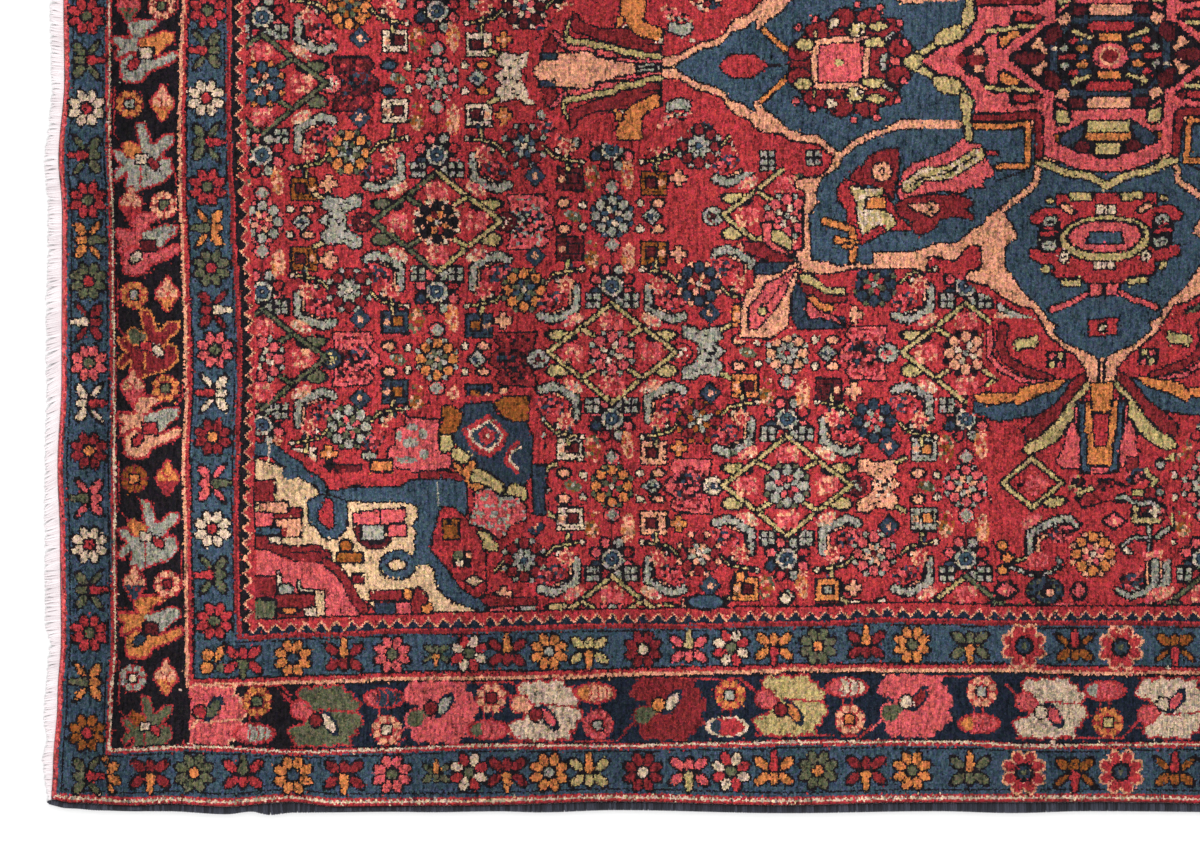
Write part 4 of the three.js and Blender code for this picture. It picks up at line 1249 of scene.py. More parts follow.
# The corner piece of the field: left, right, top and bottom of its window, and its forms
cornerWindow = (254, 552, 396, 620)
cornerForms = (
    ("shape", "crimson", 0, (254, 440, 300, 452, 334, 474, 372, 470, 390, 420, 434, 402, 470, 396,
        530, 392, 540, 420, 546, 460, 548, 516, 520, 536, 498, 552, 490, 590, 494, 620, 254, 620)),
    ("shape", "camel", 1.6, (256, 459, 283, 468, 285, 478, 300, 476, 311, 485, 319, 493, 345, 497,
        350, 500, 405, 501, 418, 506, 419, 519, 413, 526, 418, 532, 414, 542, 417, 550, 425, 562,
        432, 567, 436, 590, 445, 595, 453, 595, 457, 602, 469, 603, 478, 610, 474, 616, 380, 616,
        368, 600, 357, 597, 346, 577, 331, 562, 256, 548)),
    ("taper", "steel", 1.6, (12, 6, 256, 449, 272, 450, 284, 460, 297, 466, 303, 474, 316, 480, 322, 487,
        324, 498)),
    ("oval", "steel", 0, (290, 473, 8, 6)),
    ("path", "ivory", 0, (2.2, 268.5, 442, 269, 460)),
    ("shape", "steel", 1.6, (309, 501, 322, 495, 346, 497, 346, 528, 338, 537, 328, 539, 321, 534,
        318, 527, 309, 523), (326, 492, 345, 490, 352, 487, 400, 488, 412, 480, 466, 478, 466, 514,
        440, 509, 436, 522, 431, 537, 430, 550, 446, 566, 457, 583, 474, 594, 487, 601, 484, 612,
        478, 610, 455, 601, 444, 594, 437, 585, 436, 569, 425, 561, 417, 550, 415, 542, 418, 532,
        413, 526, 419, 519, 419, 506, 404, 501, 365, 501, 345, 499)),
    ("shape", "crimson", 1.5, (326, 499, 332, 501, 334, 526, 329, 528, 320, 521, 319, 511, 324, 507)),
    ("path", "silver", 0, (2, 438, 482, 439, 506)),
    ("oval", "steel", 1.5, (398, 565, 17, 13.5)),
    ("box", "steel", 0, (420, 558, 7, 7)),
    ("oval", "camel", 1.4, (397, 565, 8, 4.6)),
    ("shape", "rose", 1.6, (353, 514, 380, 510, 405, 509, 404, 521, 380, 524, 354, 524)),
    ("path", "ink", 0, (1.6, 380, 510, 380, 524)),
    ("path", "burgundy", 1.6, (4, 356, 527, 360, 540, 370, 546, 383, 546, 388, 540)),
    ("box", "silver", 1.6, (373, 533, 11, 7)),
    ("box", "rose", 1.6, (397, 531, 8, 5)),
    ("oval", "rust", 2, (346, 546, 5.4, 5.4)),
    ("box", "rust", 2.2, (350, 557.5, 12, 4)),
    ("shape", "madder", 1.4, (256, 537, 266, 537, 270, 544, 280, 546, 321, 546, 323, 552, 330, 552,
        331, 561, 318, 562, 298, 563, 290, 557, 279, 554, 268, 549, 256, 548)),
    ("path", "ink", 0, (1.6, 290, 552, 322, 552)),
    ("shape", "rose", 0, (256, 550, 268, 551, 278, 556, 292, 562, 326, 563, 336, 571, 342, 581, 350, 597,
        357, 609, 366, 620, 256, 620)),
    ("taper", "madder", 1.3, (7, 8, 326, 562, 338, 570, 348, 584, 355, 600, 364, 609)),
    ("box", "madder", 1.3, (358, 579, 5, 4)),
    ("box", "madder", 1.4, (264, 491, 10, 10)),
    ("box", "madder", 1, (287, 514, 14, 5)),
    ("box", "salmon", 1.2, (274, 507.5, 13, 4.6)),
    ("box", "rose", 0.6, (264, 520, 8, 7)),
    ("box", "salmon", 1, (288, 527.5, 12, 8)),
    ("box", "madder", 0, (284, 532, 3.6, 4)),
    ("box", "steel", 1, (268, 531, 12, 3)),
    ("box", "ivory", 1, (275, 540, 5, 3)),
    ("box", "madder", 1.4, (264, 587, 11, 10)),
    ("path", "ivory", 1, (3, 278, 573, 279, 586)),
    ("oval", "silver", 1.2, (285.5, 590, 7, 6)),
    ("path", "ivory", 1, (2, 298.5, 581, 300, 590, 314, 591)),
    ("box", "madder", 1.4, (296, 607, 20, 12)),
    ("box", "camel", 1.4, (320, 604, 4, 13)),
    ("box", "ivory", 1.2, (310, 612, 5, 4)),
    ("box", "moss", 1.2, (264, 611, 11, 10)),
    ("oval", "orange", 0.6, (289, 610.5, 7, 2.4)),
    ("box", "madder", 1.6, (387, 595, 16, 4.4)),
    ("box", "slate", 1.2, (385, 609, 9, 6)),
    ("box", "rose", 1.4, (403, 608.5, 7, 6)),
    ("shape", "madder", 1.4, (417, 587, 424, 592, 434, 614, 413, 614, 412, 598)),
    ("oval", "orange", 1.4, (408, 594, 4.6, 5), (427, 608.5, 5, 5)),
    ("shape", "rose", 1.6, (406, 414, 408, 419, 421, 419, 438, 420, 438, 453, 450, 456, 450, 467,
        421, 471, 412, 472, 410, 469, 394, 467, 388, 463, 388, 450, 396, 445, 396, 430, 405, 426)),
    ("oval", "silver", 0, (412, 427, 5, 4), (399, 436, 2.6, 5), (423, 434, 4.6, 5), (410, 443, 8, 5),
        (424, 454, 5, 5), (407, 460, 10, 3)),
    ("box", "orange", 1.6, (381, 466, 10, 5)),
    ("diamond", "ink", 0, (330, 465, 6.4, 9)),
    ("path", "madder", 1.3, (6, 422, 475, 437, 475, 441, 474, 460, 477)),
    ("shape", "slate", 1.8, (462, 410, 466, 405, 491, 403, 496, 415, 507, 421, 525, 422, 532, 438,
        531, 472, 525, 484, 507, 485, 491, 472, 478, 468, 469, 455, 453, 441, 452, 435, 459, 419)),
    ("shape", "crimson", 0, (462, 429, 474, 422, 488, 414, 500, 424, 508, 434, 504, 446, 490, 458,
        478, 454, 468, 444)),
    ("shape", "ivory", 0, (468, 432, 476, 427, 489, 419, 497, 427, 503, 435, 499, 444, 489, 452, 480, 448,
        472, 441)),
    ("shape", "slate", 0, (471, 433, 478, 429, 489, 422, 496, 429, 500, 435, 497, 442, 489, 449, 481, 446,
        474, 440)),
    ("oval", ("crimson", "rose", "crimson"), 0, (487, 436, 8, 7.6)),
    ("oval", "ivory", 0, (488, 436, 1.6, 3)),
    ("taper", "crimson", 0, (5, 4, 517, 443, 508, 452, 506, 462, 518, 473)),
    ("path", "ivory", 0, (1.8, 520, 447, 512, 452, 509, 460, 519, 470)),
    ("shape", "rust", 1.6, (443, 406, 452, 407, 462, 413, 461, 422, 455, 431, 446, 434, 439, 432,
        443, 424), (495, 403, 505, 397, 528, 396, 528, 420, 514, 421, 502, 415)),
    ("box", "gold", 1.3, (446, 443, 6, 8)),
    ("shape", "orange", 1.2, (453, 463, 460, 466, 464, 470, 470, 462, 475, 460, 476, 468, 470, 474,
        473, 480, 480, 483, 485, 486, 476, 490, 468, 486, 465, 477, 455, 470)),
    ("shape", "gold", 1.2, (452, 449, 460, 449, 469, 456, 468, 462, 460, 462, 452, 457)),
    ("shape", "gold", 1.5, (471, 476, 476, 469, 486, 472, 500, 481, 505, 490, 502, 494, 490, 487,
        478, 481, 472, 482)),
    ("oval", "gold", 1.5, (517, 493, 10, 8, 24)),
    ("shape", ("crimson", "madder", "crimson"), 1.4, (441, 508, 454, 508, 466, 520, 482, 530, 484, 546,
        486, 590, 478, 598, 462, 588, 446, 566, 432, 550, 434, 536)),
    ("shape", ("rose", "rose", "rose", "silver"), 1.6, (474, 493, 490, 488, 497, 496, 518, 498, 526, 507,
        526, 519, 509, 525, 504, 537, 497, 538, 491, 531, 481, 526, 471, 525, 471, 515, 476, 506)),
    ("shape", "gold", 1.4, (478, 532, 490, 533, 492, 540, 497, 545, 497, 551, 484, 549, 483, 541)),
    ("box", "rust", 2, (451, 529, 7, 9)),
    ("box", "ink", 0, (449, 522, 3, 3), (462, 559, 10, 9)),
    ("box", "moss", 0, (459, 555, 4, 4)),
    ("box", "salmon", 0, (469, 555, 2.2, 3)),
    ("box", "ivory", 0, (459, 564, 3.4, 2.6)),
    ("diamond", "camel", 1.8, (474, 581, 8, 5)),
    ("taper", "madder", 1.4, (10, 6, 488, 600, 510, 602, 534, 601)),
    ("path", "rose", 0.6, (2.4, 490, 610, 512, 608)),
    ("box", "slate", 1.2, (539, 490, 5.4, 24)),
)


def weaveCorners(chart):
    # drawn in the photograph's corner, then turned over for the others
    layer = freshLayer()
    layForms(photoPatch(layer, *cornerWindow), cornerForms)
    layer = keepInside(layer)
    merge(chart, layer, layer[:, ::-1], layer[::-1], layer[::-1, ::-1])


weaveCorners(chart)
print("corners woven")


# What the field has of its own under the medallion's lower end, in rows of the same form
pieceWindow = (985, 1180, 432, 612)
fieldPieces = (
    ("shape", "crimson", 0, (986, 434, 1010, 432, 1017, 446, 1022, 456, 1050, 470, 1078, 476, 1122, 476,
        1134, 456, 1152, 446, 1156, 470, 1172, 474, 1172, 560, 1142, 560, 1130, 604, 1064, 604, 1010, 604,
        998, 580)),
    ("diamond", "gold", 1.9, (1032, 483, 32, 27)),
    ("diamond", "crimson", 1.9, (1032, 483, 23.5, 19)),
    ("diamond", ("rose", "crimson", "rose"), 0, (1034, 484, 16, 13)),
    ("box", "ink", 0, (1020, 485, 3.4, 1.6)),
    ("oval", "gold", 1.8, (1054, 502, 10, 4.2, -8)),
    ("shape", "madder", 1.6, (1127, 458, 1138, 457, 1138, 466, 1132, 474, 1126, 467)),
    ("oval", "silver", 2.4, (1160, 464, 3, 3.6), (1160, 492, 3, 3)),
    ("oval", ("ink", "burgundy", "slate", "ink", "rose"), 0, (1137, 476, 12, 8, -20)),
    ("path", "gold", 1.6, (3.6, 1146, 470, 1149, 477, 1156, 480, 1151, 487)),
    ("oval", ("ink", "rose", "burgundy", "ink", "gold"), 0, (1077, 484, 9, 9)),
    ("path", "gold", 1.5, (3.6, 1078, 497, 1084, 491, 1092, 488)),
    ("oval", ("ink", "burgundy", "madder", "crimson"), 0, (1108, 485, 15, 7)),
    ("path", "ink", 0, (2.6, 1076, 492, 1078, 500, 1082, 507, 1096, 505, 1102, 501, 1126, 502)),
    ("oval", "madder", 0, (1092, 498, 10, 5, -14)),
    ("path", "ink", 0, (2.6, 1098, 480, 1112, 479, 1116, 484, 1130, 486)),
    ("box", "gold", 1.6, (1138, 493, 5, 2.6)),
    ("box", "madder", 1.4, (1150, 493, 4.4, 3.6)),
    ("oval", ("ink", "burgundy", "ink"), 0, (1149, 512, 19, 14)),
    ("path", "silver", 1.6, (3.2, 1118, 498, 1124, 496, 1131, 501, 1140, 504, 1150, 502, 1158, 506)),
    ("path", "gold", 1.6, (5, 1135, 508, 1135, 521, 1158, 521)),
    ("diamond", "ivory", 0, (1155, 512, 6, 6)),
    ("box", "madder", 0, (1144, 510, 2.6, 2.6)),
    ("box", "rose", 0, (1163, 510, 1.8, 2.6), (1161, 518, 2.4, 1.6)),
    ("diamond", "ink", 0, (1114, 521, 15, 11)),
    ("diamond", "rose", 0, (1114, 521, 11, 6.6)),
    ("box", "salmon", 0, (1115, 522, 1.8, 2)),
    ("path", "silver", 1.9, (3.4, 1157, 537, 1163, 532, 1169, 529)),
    ("path", "ink", 0, (7, 1149, 528, 1149, 551)),
    ("path", "silver", 0, (2.4, 1149, 528, 1149, 551)),
    ("path", "silver", 1.9, (2.4, 1122, 546, 1128, 541, 1136, 537, 1146, 538)),
    ("oval", "ivory", 1.8, (1127, 551, 3.6, 2, 20)),
    ("shape", ("rose", "crimson", "rose", "salmon"), 0, (1138, 553, 1164, 550, 1160, 560, 1142, 561)),
    ("taper", "silver", 1.9, (6, 4, 1155, 562, 1155, 583, 1146, 592, 1130, 597, 1117, 590)),
    ("path", "salmon", 1.6, (2.4, 1147, 564, 1147, 583)),
    ("oval", ("ink", "rose", "burgundy", "slate", "ink"), 0, (1130, 580, 11, 8, -10)),
    ("oval", ("rose", "salmon", "rose"), 0, (1155, 595, 12, 5.6, -34)),
    ("oval", "orange", 2, (1002, 546, 4.6, 4.4), (1008, 558, 5, 3.8), (1003, 570, 4.6, 4)),
    ("path", "gold", 1.6, (2, 1016, 561, 1026, 558)),
    ("oval", ("rose", "salmon", "rose", "rose"), 0, (1032, 522, 12, 6.4, -28)),
    ("oval", ("ink", "rose", "burgundy", "slate", "ink"), 0, (1062, 534, 13, 9, -20)),
    ("taper", "silver", 1.9, (6.4, 5, 1030, 553, 1030, 534, 1042, 527, 1056, 520, 1070, 518, 1077, 526)),
    ("path", "salmon", 1.6, (2.6, 1038, 552, 1038, 540, 1046, 535)),
    ("path", ("silver", "ink", "silver"), 0, (3, 1040, 529, 1056, 521, 1074, 521)),
    ("oval", ("rose", "crimson", "rose"), 0, (1038, 560, 11, 8)),
    ("path", ("silver", "ink", "silver", "ink"), 1.6, (3.4, 1008, 566, 1022, 571, 1034, 575, 1052, 572,
        1062, 565, 1058, 559)),
    ("oval", "ink", 0, (1045, 591, 20, 14.6)),
    ("oval", ("slate", "ink", "moss", "slate"), 0, (1045, 591, 18, 13)),
    ("oval", "ink", 0, (1048, 592, 8, 6.4)),
    ("oval", "salmon", 0, (1050, 593, 4.2, 3.6, -30)),
    ("oval", "ink", 0, (1006, 590, 13, 10)),
    ("diamond", "rose", 0, (1006, 590, 10, 7.6)),
    ("box", "salmon", 0, (1006, 591, 2, 2)),
    ("oval", "ink", 0, (1079, 591, 9.6, 10.6)),
    ("diamond", "rose", 0, (1079, 591, 6.4, 8)),
    ("path", "ink", 0, (2, 992, 606, 1176, 605)),
)
# Single things away from there
speckWindow = (160, 1190, 30, 810)
fieldSpecks = (
    ("oval", "steel", 1.8, (706, 602, 17, 6.4)),
    ("box", "orange", 1.8, (740, 577, 4, 4), (828, 590, 11, 10)),
    ("box", "ink", 0, (828, 590, 6.4, 5.4)),
    ("box", "silver", 0, (828, 590, 4, 3.4)),
    ("diamond", "ivory", 1.8, (785, 599, 6, 6)),
    ("oval", "ivory", 0, (660.6, 41, 1.6, 2.6), (693, 40.6, 3, 1.8), (1166, 63, 2.6, 1.8),
        (1168, 668, 2.4, 1.8), (1053, 742, 2.6, 1.4), (180, 690, 2, 1.6)),
    ("path", "camel", 0, (1.8, 468, 801, 486, 799.4, 515, 800)),
)


def weavePieces(chart):
    # laid where the photograph shows them, and half turned on the hidden side
    layer = freshLayer()
    layForms(photoPatch(layer, *pieceWindow), fieldPieces)
    ring(Patch(layer, 1093, 554, 30), "orange", "salmon", "rose", "ivory")
    layForms(photoPatch(layer, *speckWindow), fieldSpecks)
    merge(chart, layer[::-1, ::-1], layer)


stray = {"share": 0.06, "reach": 2, "seed": 11}


def strayKnots(chart):
    # here and there a knot takes the yarn of one up to two places away
    draw = np.random.default_rng(stray["seed"])
    row, col = np.indices(chart.shape)
    row = np.clip(row + draw.integers(-stray["reach"], stray["reach"] + 1, chart.shape), 0, rows - 1)
    col = np.clip(col + draw.integers(-stray["reach"], stray["reach"] + 1, chart.shape), 0, columns - 1)
    return np.where(draw.random(chart.shape) < stray["share"], chart[row, col], chart)


weavePieces(chart)
chart = strayKnots(chart)
print("field's own pieces woven")


class Value:
    # a node's socket that takes part in sums

    def __init__(self, finish, socket):
        self.finish, self.socket = finish, socket

    def math(self, operation, *values):
        return self.finish.math(operation, self, *values)

    def __add__(self, other):
        return self.math("ADD", other)

    def __sub__(self, other):
        return self.math("SUBTRACT", other)

    def __rsub__(self, other):
        return self.finish.math("SUBTRACT", other, self)

    def __mul__(self, other):
        return self.math("MULTIPLY", other)

    def __truediv__(self, other):
        return self.math("DIVIDE", other)

    def __gt__(self, other):
        return self.math("GREATER_THAN", other)

    __radd__, __rmul__ = __add__, __mul__


class Finish:
    # a material whose nodes are made one after another

    def __init__(self, name, surface):
        self.material = bpy.data.materials.new(name)
        self.material.use_nodes = True
        self.tree = self.material.node_tree
        self.tree.nodes.clear()
        self.shader = self.tree.nodes.new("ShaderNodeBsdfPrincipled")
        output = self.tree.nodes.new("ShaderNodeOutputMaterial")
        self.tree.links.new(self.shader.outputs["BSDF"], output.inputs["Surface"])
        for socket, value in surface.items():
            self.shader.inputs[socket].default_value = value

    def join(self, socket, value):
        if isinstance(value, Value):
            self.tree.links.new(value.socket, socket)
        else:
            socket.default_value = value

    def node(self, kind, settings=None, inputs=None, output=0):
        node = self.tree.nodes.new(kind)
        for name, value in (settings or {}).items():
            if name == "stops":
                ramp = node.color_ramp
                while len(ramp.elements) < len(value):
                    ramp.elements.new(1)
                for element, (position, colour) in zip(ramp.elements, value):
                    element.position, element.color = position, colour
            elif name == "interpolation":
                node.color_ramp.interpolation = value
            else:
                setattr(node, name, value)
        for name, value in (inputs or {}).items():
            self.join(node.inputs[name], value)
        return Value(self, node.outputs[output])

    def math(self, operation, *values):
        return self.node("ShaderNodeMath", {"operation": operation}, dict(enumerate(values)))

    def vector(self, operation, *values):
        return self.node("ShaderNodeVectorMath", {"operation": operation}, dict(enumerate(values)))

    def noise(self, place, scale, detail, roughness=0.6, output=0):
        # flat noise whose grains may be longer one way
        place = self.node("ShaderNodeMapping", {}, {"Vector": place, "Scale": scale})
        return self.node("ShaderNodeTexNoise", {"noise_dimensions": "2D"},
                         {"Vector": place, "Scale": 1.0, "Detail": detail, "Roughness": roughness}, output)

    def mix(self, blend, share, a, b):
        return self.node("ShaderNodeMix", {"data_type": "RGBA", "blend_type": blend},
                         {"Factor": share, "A": a, "B": b}, "Result")

    def parts(self, vector):
        node = self.node("ShaderNodeSeparateXYZ", {}, {"Vector": vector}).socket.node
        return [Value(self, socket) for socket in node.outputs]

    def ramp(self, share, stops, interpolation="LINEAR"):
        # colours that follow a number; stops are rows of number, colour
        stops = [(at, linear(colour, wool["light"]) + [1]) for at, colour in stops]
        settings = {"interpolation": interpolation, "stops": stops}
        return self.node("ShaderNodeValToRGB", settings, {"Fac": share})

    def done(self, colour, height, strength):
        # the colour and the relief joined to the shader
        relief = {"Height": height, "Distance": 1.0, "Strength": strength}
        bump = self.node("ShaderNodeBump", {}, relief, "Normal")
        self.join(self.shader.inputs["Base Color"], colour)
        self.join(self.shader.inputs["Normal"], bump)
        return self.material


def linear(colour, light):
    # sRGB numbers as the shader takes them, for a surface that light falls on
    shares = [c / 255 for c in colour]
    return [(c / 12.92 if c < 0.04045 else ((c + 0.055) / 1.055) ** 2.4) / light for c in shares]


def strandFinish(name, shadeName, look):
    # yarns side by side that differ in shade, with fibres and broader stains
    finish = Finish(name, look["surface"])
    place = finish.node("ShaderNodeTexCoord", {}, {}, "Object")
    shade = finish.node("ShaderNodeAttribute", {"attribute_name": shadeName}, output="Fac")
    grains = [dict(Vector=place, Scale=scale, Detail=detail) for scale, detail in look["grains"]]
    fibre, stain = [finish.node("ShaderNodeTexNoise", {}, grain) for grain in grains]
    byShade, byFibre, byStain, less = look["mix"]
    colour = finish.ramp(shade * byShade + fibre * byFibre + stain * byStain - less, look["colours"])
    return finish.done(colour, fibre * look["fibreHeight"], look["relief"])


class Tree:
    # a Geometry Nodes tree whose sizes are named inputs

    def __init__(self, name, sizes):
        self.group = bpy.data.node_groups.new(name, "GeometryNodeTree")
        sockets = self.group.interface
        sockets.new_socket("Geometry", in_out="OUTPUT", socket_type="NodeSocketGeometry")
        sockets.new_socket("Geometry", in_out="INPUT", socket_type="NodeSocketGeometry")
        kinds = {int: "NodeSocketInt", float: "NodeSocketFloat", bpy.types.Material: "NodeSocketMaterial"}
        self.sizes = sizes
        self.identifiers = {}
        for size, value in sizes.items():
            socket = sockets.new_socket(size, in_out="INPUT", socket_type=kinds[type(value)])
            self.identifiers[size] = socket.identifier
        self.source = self.group.nodes.new("NodeGroupInput")

    def size(self, name):
        return self.source.outputs[name]

    def node(self, kind, inputs=None, output=0, **settings):
        node = self.group.nodes.new(kind)
        for name, value in settings.items():
            setattr(node, name, value)
        for name, value in (inputs or {}).items():
            if isinstance(value, bpy.types.NodeSocket):
                self.group.links.new(value, node.inputs[name])
            else:
                node.inputs[name].default_value = value
        return node.outputs[output]

    def math(self, operation, a, b):
        return self.node("ShaderNodeMath", {0: a, 1: b}, operation=operation)

    def column(self, name):
        # the number that each base point has under a name
        return self.node("GeometryNodeInputNamedAttribute", {"Name": name}, data_type="FLOAT")

    def draw(self, low, high, kind="FLOAT", output=1):
        # another random number for each point or instance
        span = {"Min": low, "Max": high, "Seed": self.size("Seed")}
        return self.node("FunctionNodeRandomValue", span, output, data_type=kind)

    def shaded(self, instances, name):
        # a random shade kept under a name with each instance
        return self.node("GeometryNodeStoreNamedAttribute",
                         {"Geometry": instances, "Name": name, "Value": self.draw(0.0, 1.0)},
                         data_type="FLOAT", domain="INSTANCE")

    def circle(self, steps, radius):
        return self.node("GeometryNodeCurvePrimitiveCircle", {"Resolution": steps, "Radius": radius})

    def joined(self, *parts):
        join = self.group.nodes.new("GeometryNodeJoinGeometry")
        for part in parts:
            self.group.links.new(part, join.inputs[0])
        return join.outputs[0]

    def finish(self, *parts):
        # every part joined, made real and given the material
        real = self.node("GeometryNodeRealizeInstances", {"Geometry": self.joined(*parts)})
        done = self.node("GeometryNodeSetMaterial", {"Geometry": real, "Material": self.size("Material")})
        result = self.group.nodes.new("NodeGroupOutput")
        self.group.links.new(done, result.inputs[0])

    def grow(self, name, base):
        # run the tree on a base mesh and keep the plain mesh it makes
        source = bpy.data.objects.new(name, base)
        bpy.context.scene.collection.objects.link(source)
        modifier = source.modifiers.new(self.group.name, "NODES")
        modifier.node_group = self.group
        for size, value in self.sizes.items():
            modifier[self.identifiers[size]] = value
        graph = bpy.context.evaluated_depsgraph_get()
        mesh = bpy.data.meshes.new_from_object(source.evaluated_get(graph), depsgraph=graph)
        source.modifiers.remove(modifier)
        source.data = mesh
        return source


def dress(piece, node):
    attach(piece, "root")
    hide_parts(node)
    return piece


def pointMesh(name, points, edges=(), **numbers):
    # points that each have a number under every name
    mesh = bpy.data.meshes.new(name)
    mesh.from_pydata([tuple(point) for point in points], edges, [])
    for named, values in numbers.items():
        attribute = mesh.attributes.new(named, "FLOAT", "POINT")
        attribute.data.foreach_set("value", np.asarray(values, np.float32))
    return mesh


def halfTurned(mesh):
    # the same mesh turned half round the upright axis
    places = np.empty(len(mesh.vertices) * 3, np.float32)
    mesh.vertices.foreach_get("co", places)
    places = places.reshape(-1, 3) * (-1, -1, 1)
    mesh.vertices.foreach_set("co", places.astype(np.float32).ravel())
    mesh.update()


wool = {
    "light": 0.98,  # how bright plain light falls on the rug
    "surface": {
        "Roughness": 0.95, "Specular IOR Level": 0.06, "Sheen Weight": 0.02, "Sheen Roughness": 0.6,
    },
    "fuzz": 1.2,  # how far knots' edges wander
    "fuzzGrain": ((0.8, 0.6, 1), 2.0, 0.6),  # scale along both ways, detail and roughness of the noise
    "knotShade": 0.44,  # how much one knot differs from the next
    "streakShade": 1.3,  # how much short lengths of one yarn differ
    "streakGrain": ((0.5, 0.1, 1), 4.0, 0.7),
    "fibre": 0.45,
    "fibreGrain": ((2.6, 1.3, 1), 3.0, 0.7),
    "wear": 0.3,
    "wearGrain": ((0.02, 0.01, 1), 3.0, 0.6),
    "gapPaintedShade": 0.35,  # painted shade: how much darker the colour is made in the gaps between knots
    "tint": 0.25,  # how much single knots differ in hue
    "tuftHeight": 0.0009,
    "fibreHeight": 0.0004,
    "relief": 0.8,
}
# Dye lots: pixel along the photograph or down it, and how light the yarns are there
lotsAlong = (
    (60, 1.07), (110, 0.86), (170, 1.03), (230, 1.06), (290, 0.96), (350, 1.09), (410, 1), (500, 0.89),
    (560, 0.95), (620, 0.92), (660, 0.98), (720, 1.05), (790, 1.04), (880, 1.06), (920, 1.03), (970, 0.99),
    (1030, 0.95), (1100, 0.95),
)
lotsDown = ((70, 1), (180, 0.97), (270, 0.99), (360, 1.03), (500, 1.03), (620, 1), (700, 0.96), (800, 0.96))
displayPower = 2.2  # from how light a yarn looks to how much light it gives back

digits = 6  # knots' yarns that one number can hold
knotData = ("knotsFirst", "knotsSecond", "knotsThird")


def dyeLot(finish, share, middle, reach, lots):
    # how light the yarns are along one of the pile's middle lines, the same on both sides of the other
    away = (share - 0.5).math("ABSOLUTE") * 2
    stops = sorted((abs(at - middle) / reach, (level, level, level, 1)) for at, level in lots)
    return finish.node("ShaderNodeValToRGB", {"stops": stops}, {"Fac": away}).math("POWER", displayPower)


def woolFinish():
    # every face carries its own knots and those round it, so that a knot's edge may wander past its face
    finish = Finish("woolPile", wool["surface"])
    knots = finish.node("ShaderNodeUVMap", {"uv_map": "knotPlace"})
    fuzz = finish.vector("SUBTRACT", finish.noise(knots, *wool["fuzzGrain"], "Color"), (0.5, 0.5, 0.5))
    fuzz = finish.vector("MULTIPLY", fuzz, (2 * wool["fuzz"],) * 3)
    shift = finish.parts(fuzz)
    inBlock = finish.parts(finish.node("ShaderNodeUVMap", {"uv_map": "inBlock"}))
    reach = rug["block"] + 2
    col = (inBlock[0] + shift[0] + 1).math("FLOOR")
    row = (inBlock[1] + shift[1] + 1).math("FLOOR")
    place = row * reach + col
    group = ((place + 0.5) / digits).math("FLOOR")
    packed = 0
    for k in range(-(-reach * reach // digits)):
        if k % 3 == 0:
            named = {"attribute_name": knotData[k // 3]}
            channels = finish.parts(finish.node("ShaderNodeAttribute", named, output="Vector"))
        packed = channels[k % 3] * group.math("COMPARE", k, 0.5) + packed
    digit = place - group * digits
    scale = 1
    for k in range(1, digits):
        scale = (digit > k - 0.5) * ((yarnLimit - 1) * yarnLimit ** (k - 1)) + scale
    digit = (packed / scale).math("FLOOR") - yarnLimit * (packed / (yarnLimit * scale)).math("FLOOR")
    colours = [(k / yarnLimit, yarns[name]) for k, name in enumerate(yarnNames)]
    yarn = finish.ramp((digit + 0.5) / yarnLimit, colours, "CONSTANT")
    moved = finish.vector("ADD", knots, fuzz)
    cell = {"Vector": finish.vector("FLOOR", moved)}
    inCell = finish.parts(finish.vector("FRACTION", moved))
    chance, tint = [finish.node("ShaderNodeTexWhiteNoise", {"noise_dimensions": "2D"}, cell, output)
                    for output in ("Value", "Color")]
    away = [(part - 0.5) * (part - 0.5) * 4 for part in inCell[:2]]
    tuft = 1 - (away[0] + away[1]) * 0.5
    fibre, streak, broad = [finish.noise(knots, *wool[kind + "Grain"])
                            for kind in ("fibre", "streak", "wear")]
    shade = 1 + (chance - 0.5) * (2 * wool["knotShade"]) + (fibre - 0.5) * (2 * wool["fibre"])
    shade = shade + (streak - 0.5) * (2 * wool["streakShade"]) + (broad - 0.5) * (2 * wool["wear"])
    # painted shade: each knot's colour is darkened towards its edges, where the gaps between knots lie
    shade = shade * (1 - (1 - tuft) * wool["gapPaintedShade"])
    along, down, _ = finish.parts(knots)
    shade = shade * dyeLot(finish, along / columns, photo["middleX"], columns / 2 * knotWide, lotsAlong)
    shade = shade * dyeLot(finish, down / rows, photo["middleY"], rows / 2 * knotHigh, lotsDown)
    shades = finish.node("ShaderNodeCombineColor", {}, {"Red": shade, "Green": shade, "Blue": shade})
    colour = finish.mix("MULTIPLY", 1.0, yarn, shades)
    colour = finish.mix("SOFT_LIGHT", wool["tint"], colour, tint)
    return finish.done(colour, tuft * wool["tuftHeight"] + fibre * wool["fibreHeight"], wool["relief"])


def blockLines(count, halfSize):
    # the lines between blocks of knots as shares of the pile, closer together at the rim
    rim = [way / (2 * halfSize) for way, _ in reversed(rug["rim"][:-2])]
    inner = [k / count for k in range(1, count)]
    shares = [0] + rim + inner + [1 - share for share in reversed(rim)] + [1]
    blocks = [0] * (len(rim) + 1) + list(range(1, count - 1)) + [count - 1] * (len(rim) + 1)
    return np.array(shares), np.array(blocks)


def pileLevel(x, y):
    # the top's slow unevenness, as the solids have it
    broad = np.sin(x / 131 + 0.7) * np.sin(y / 97 - 0.4)
    return rug["height"] + rug["unevenness"] * (2 * broad + np.sin(x / 61 - y / 83) - 3) / 6


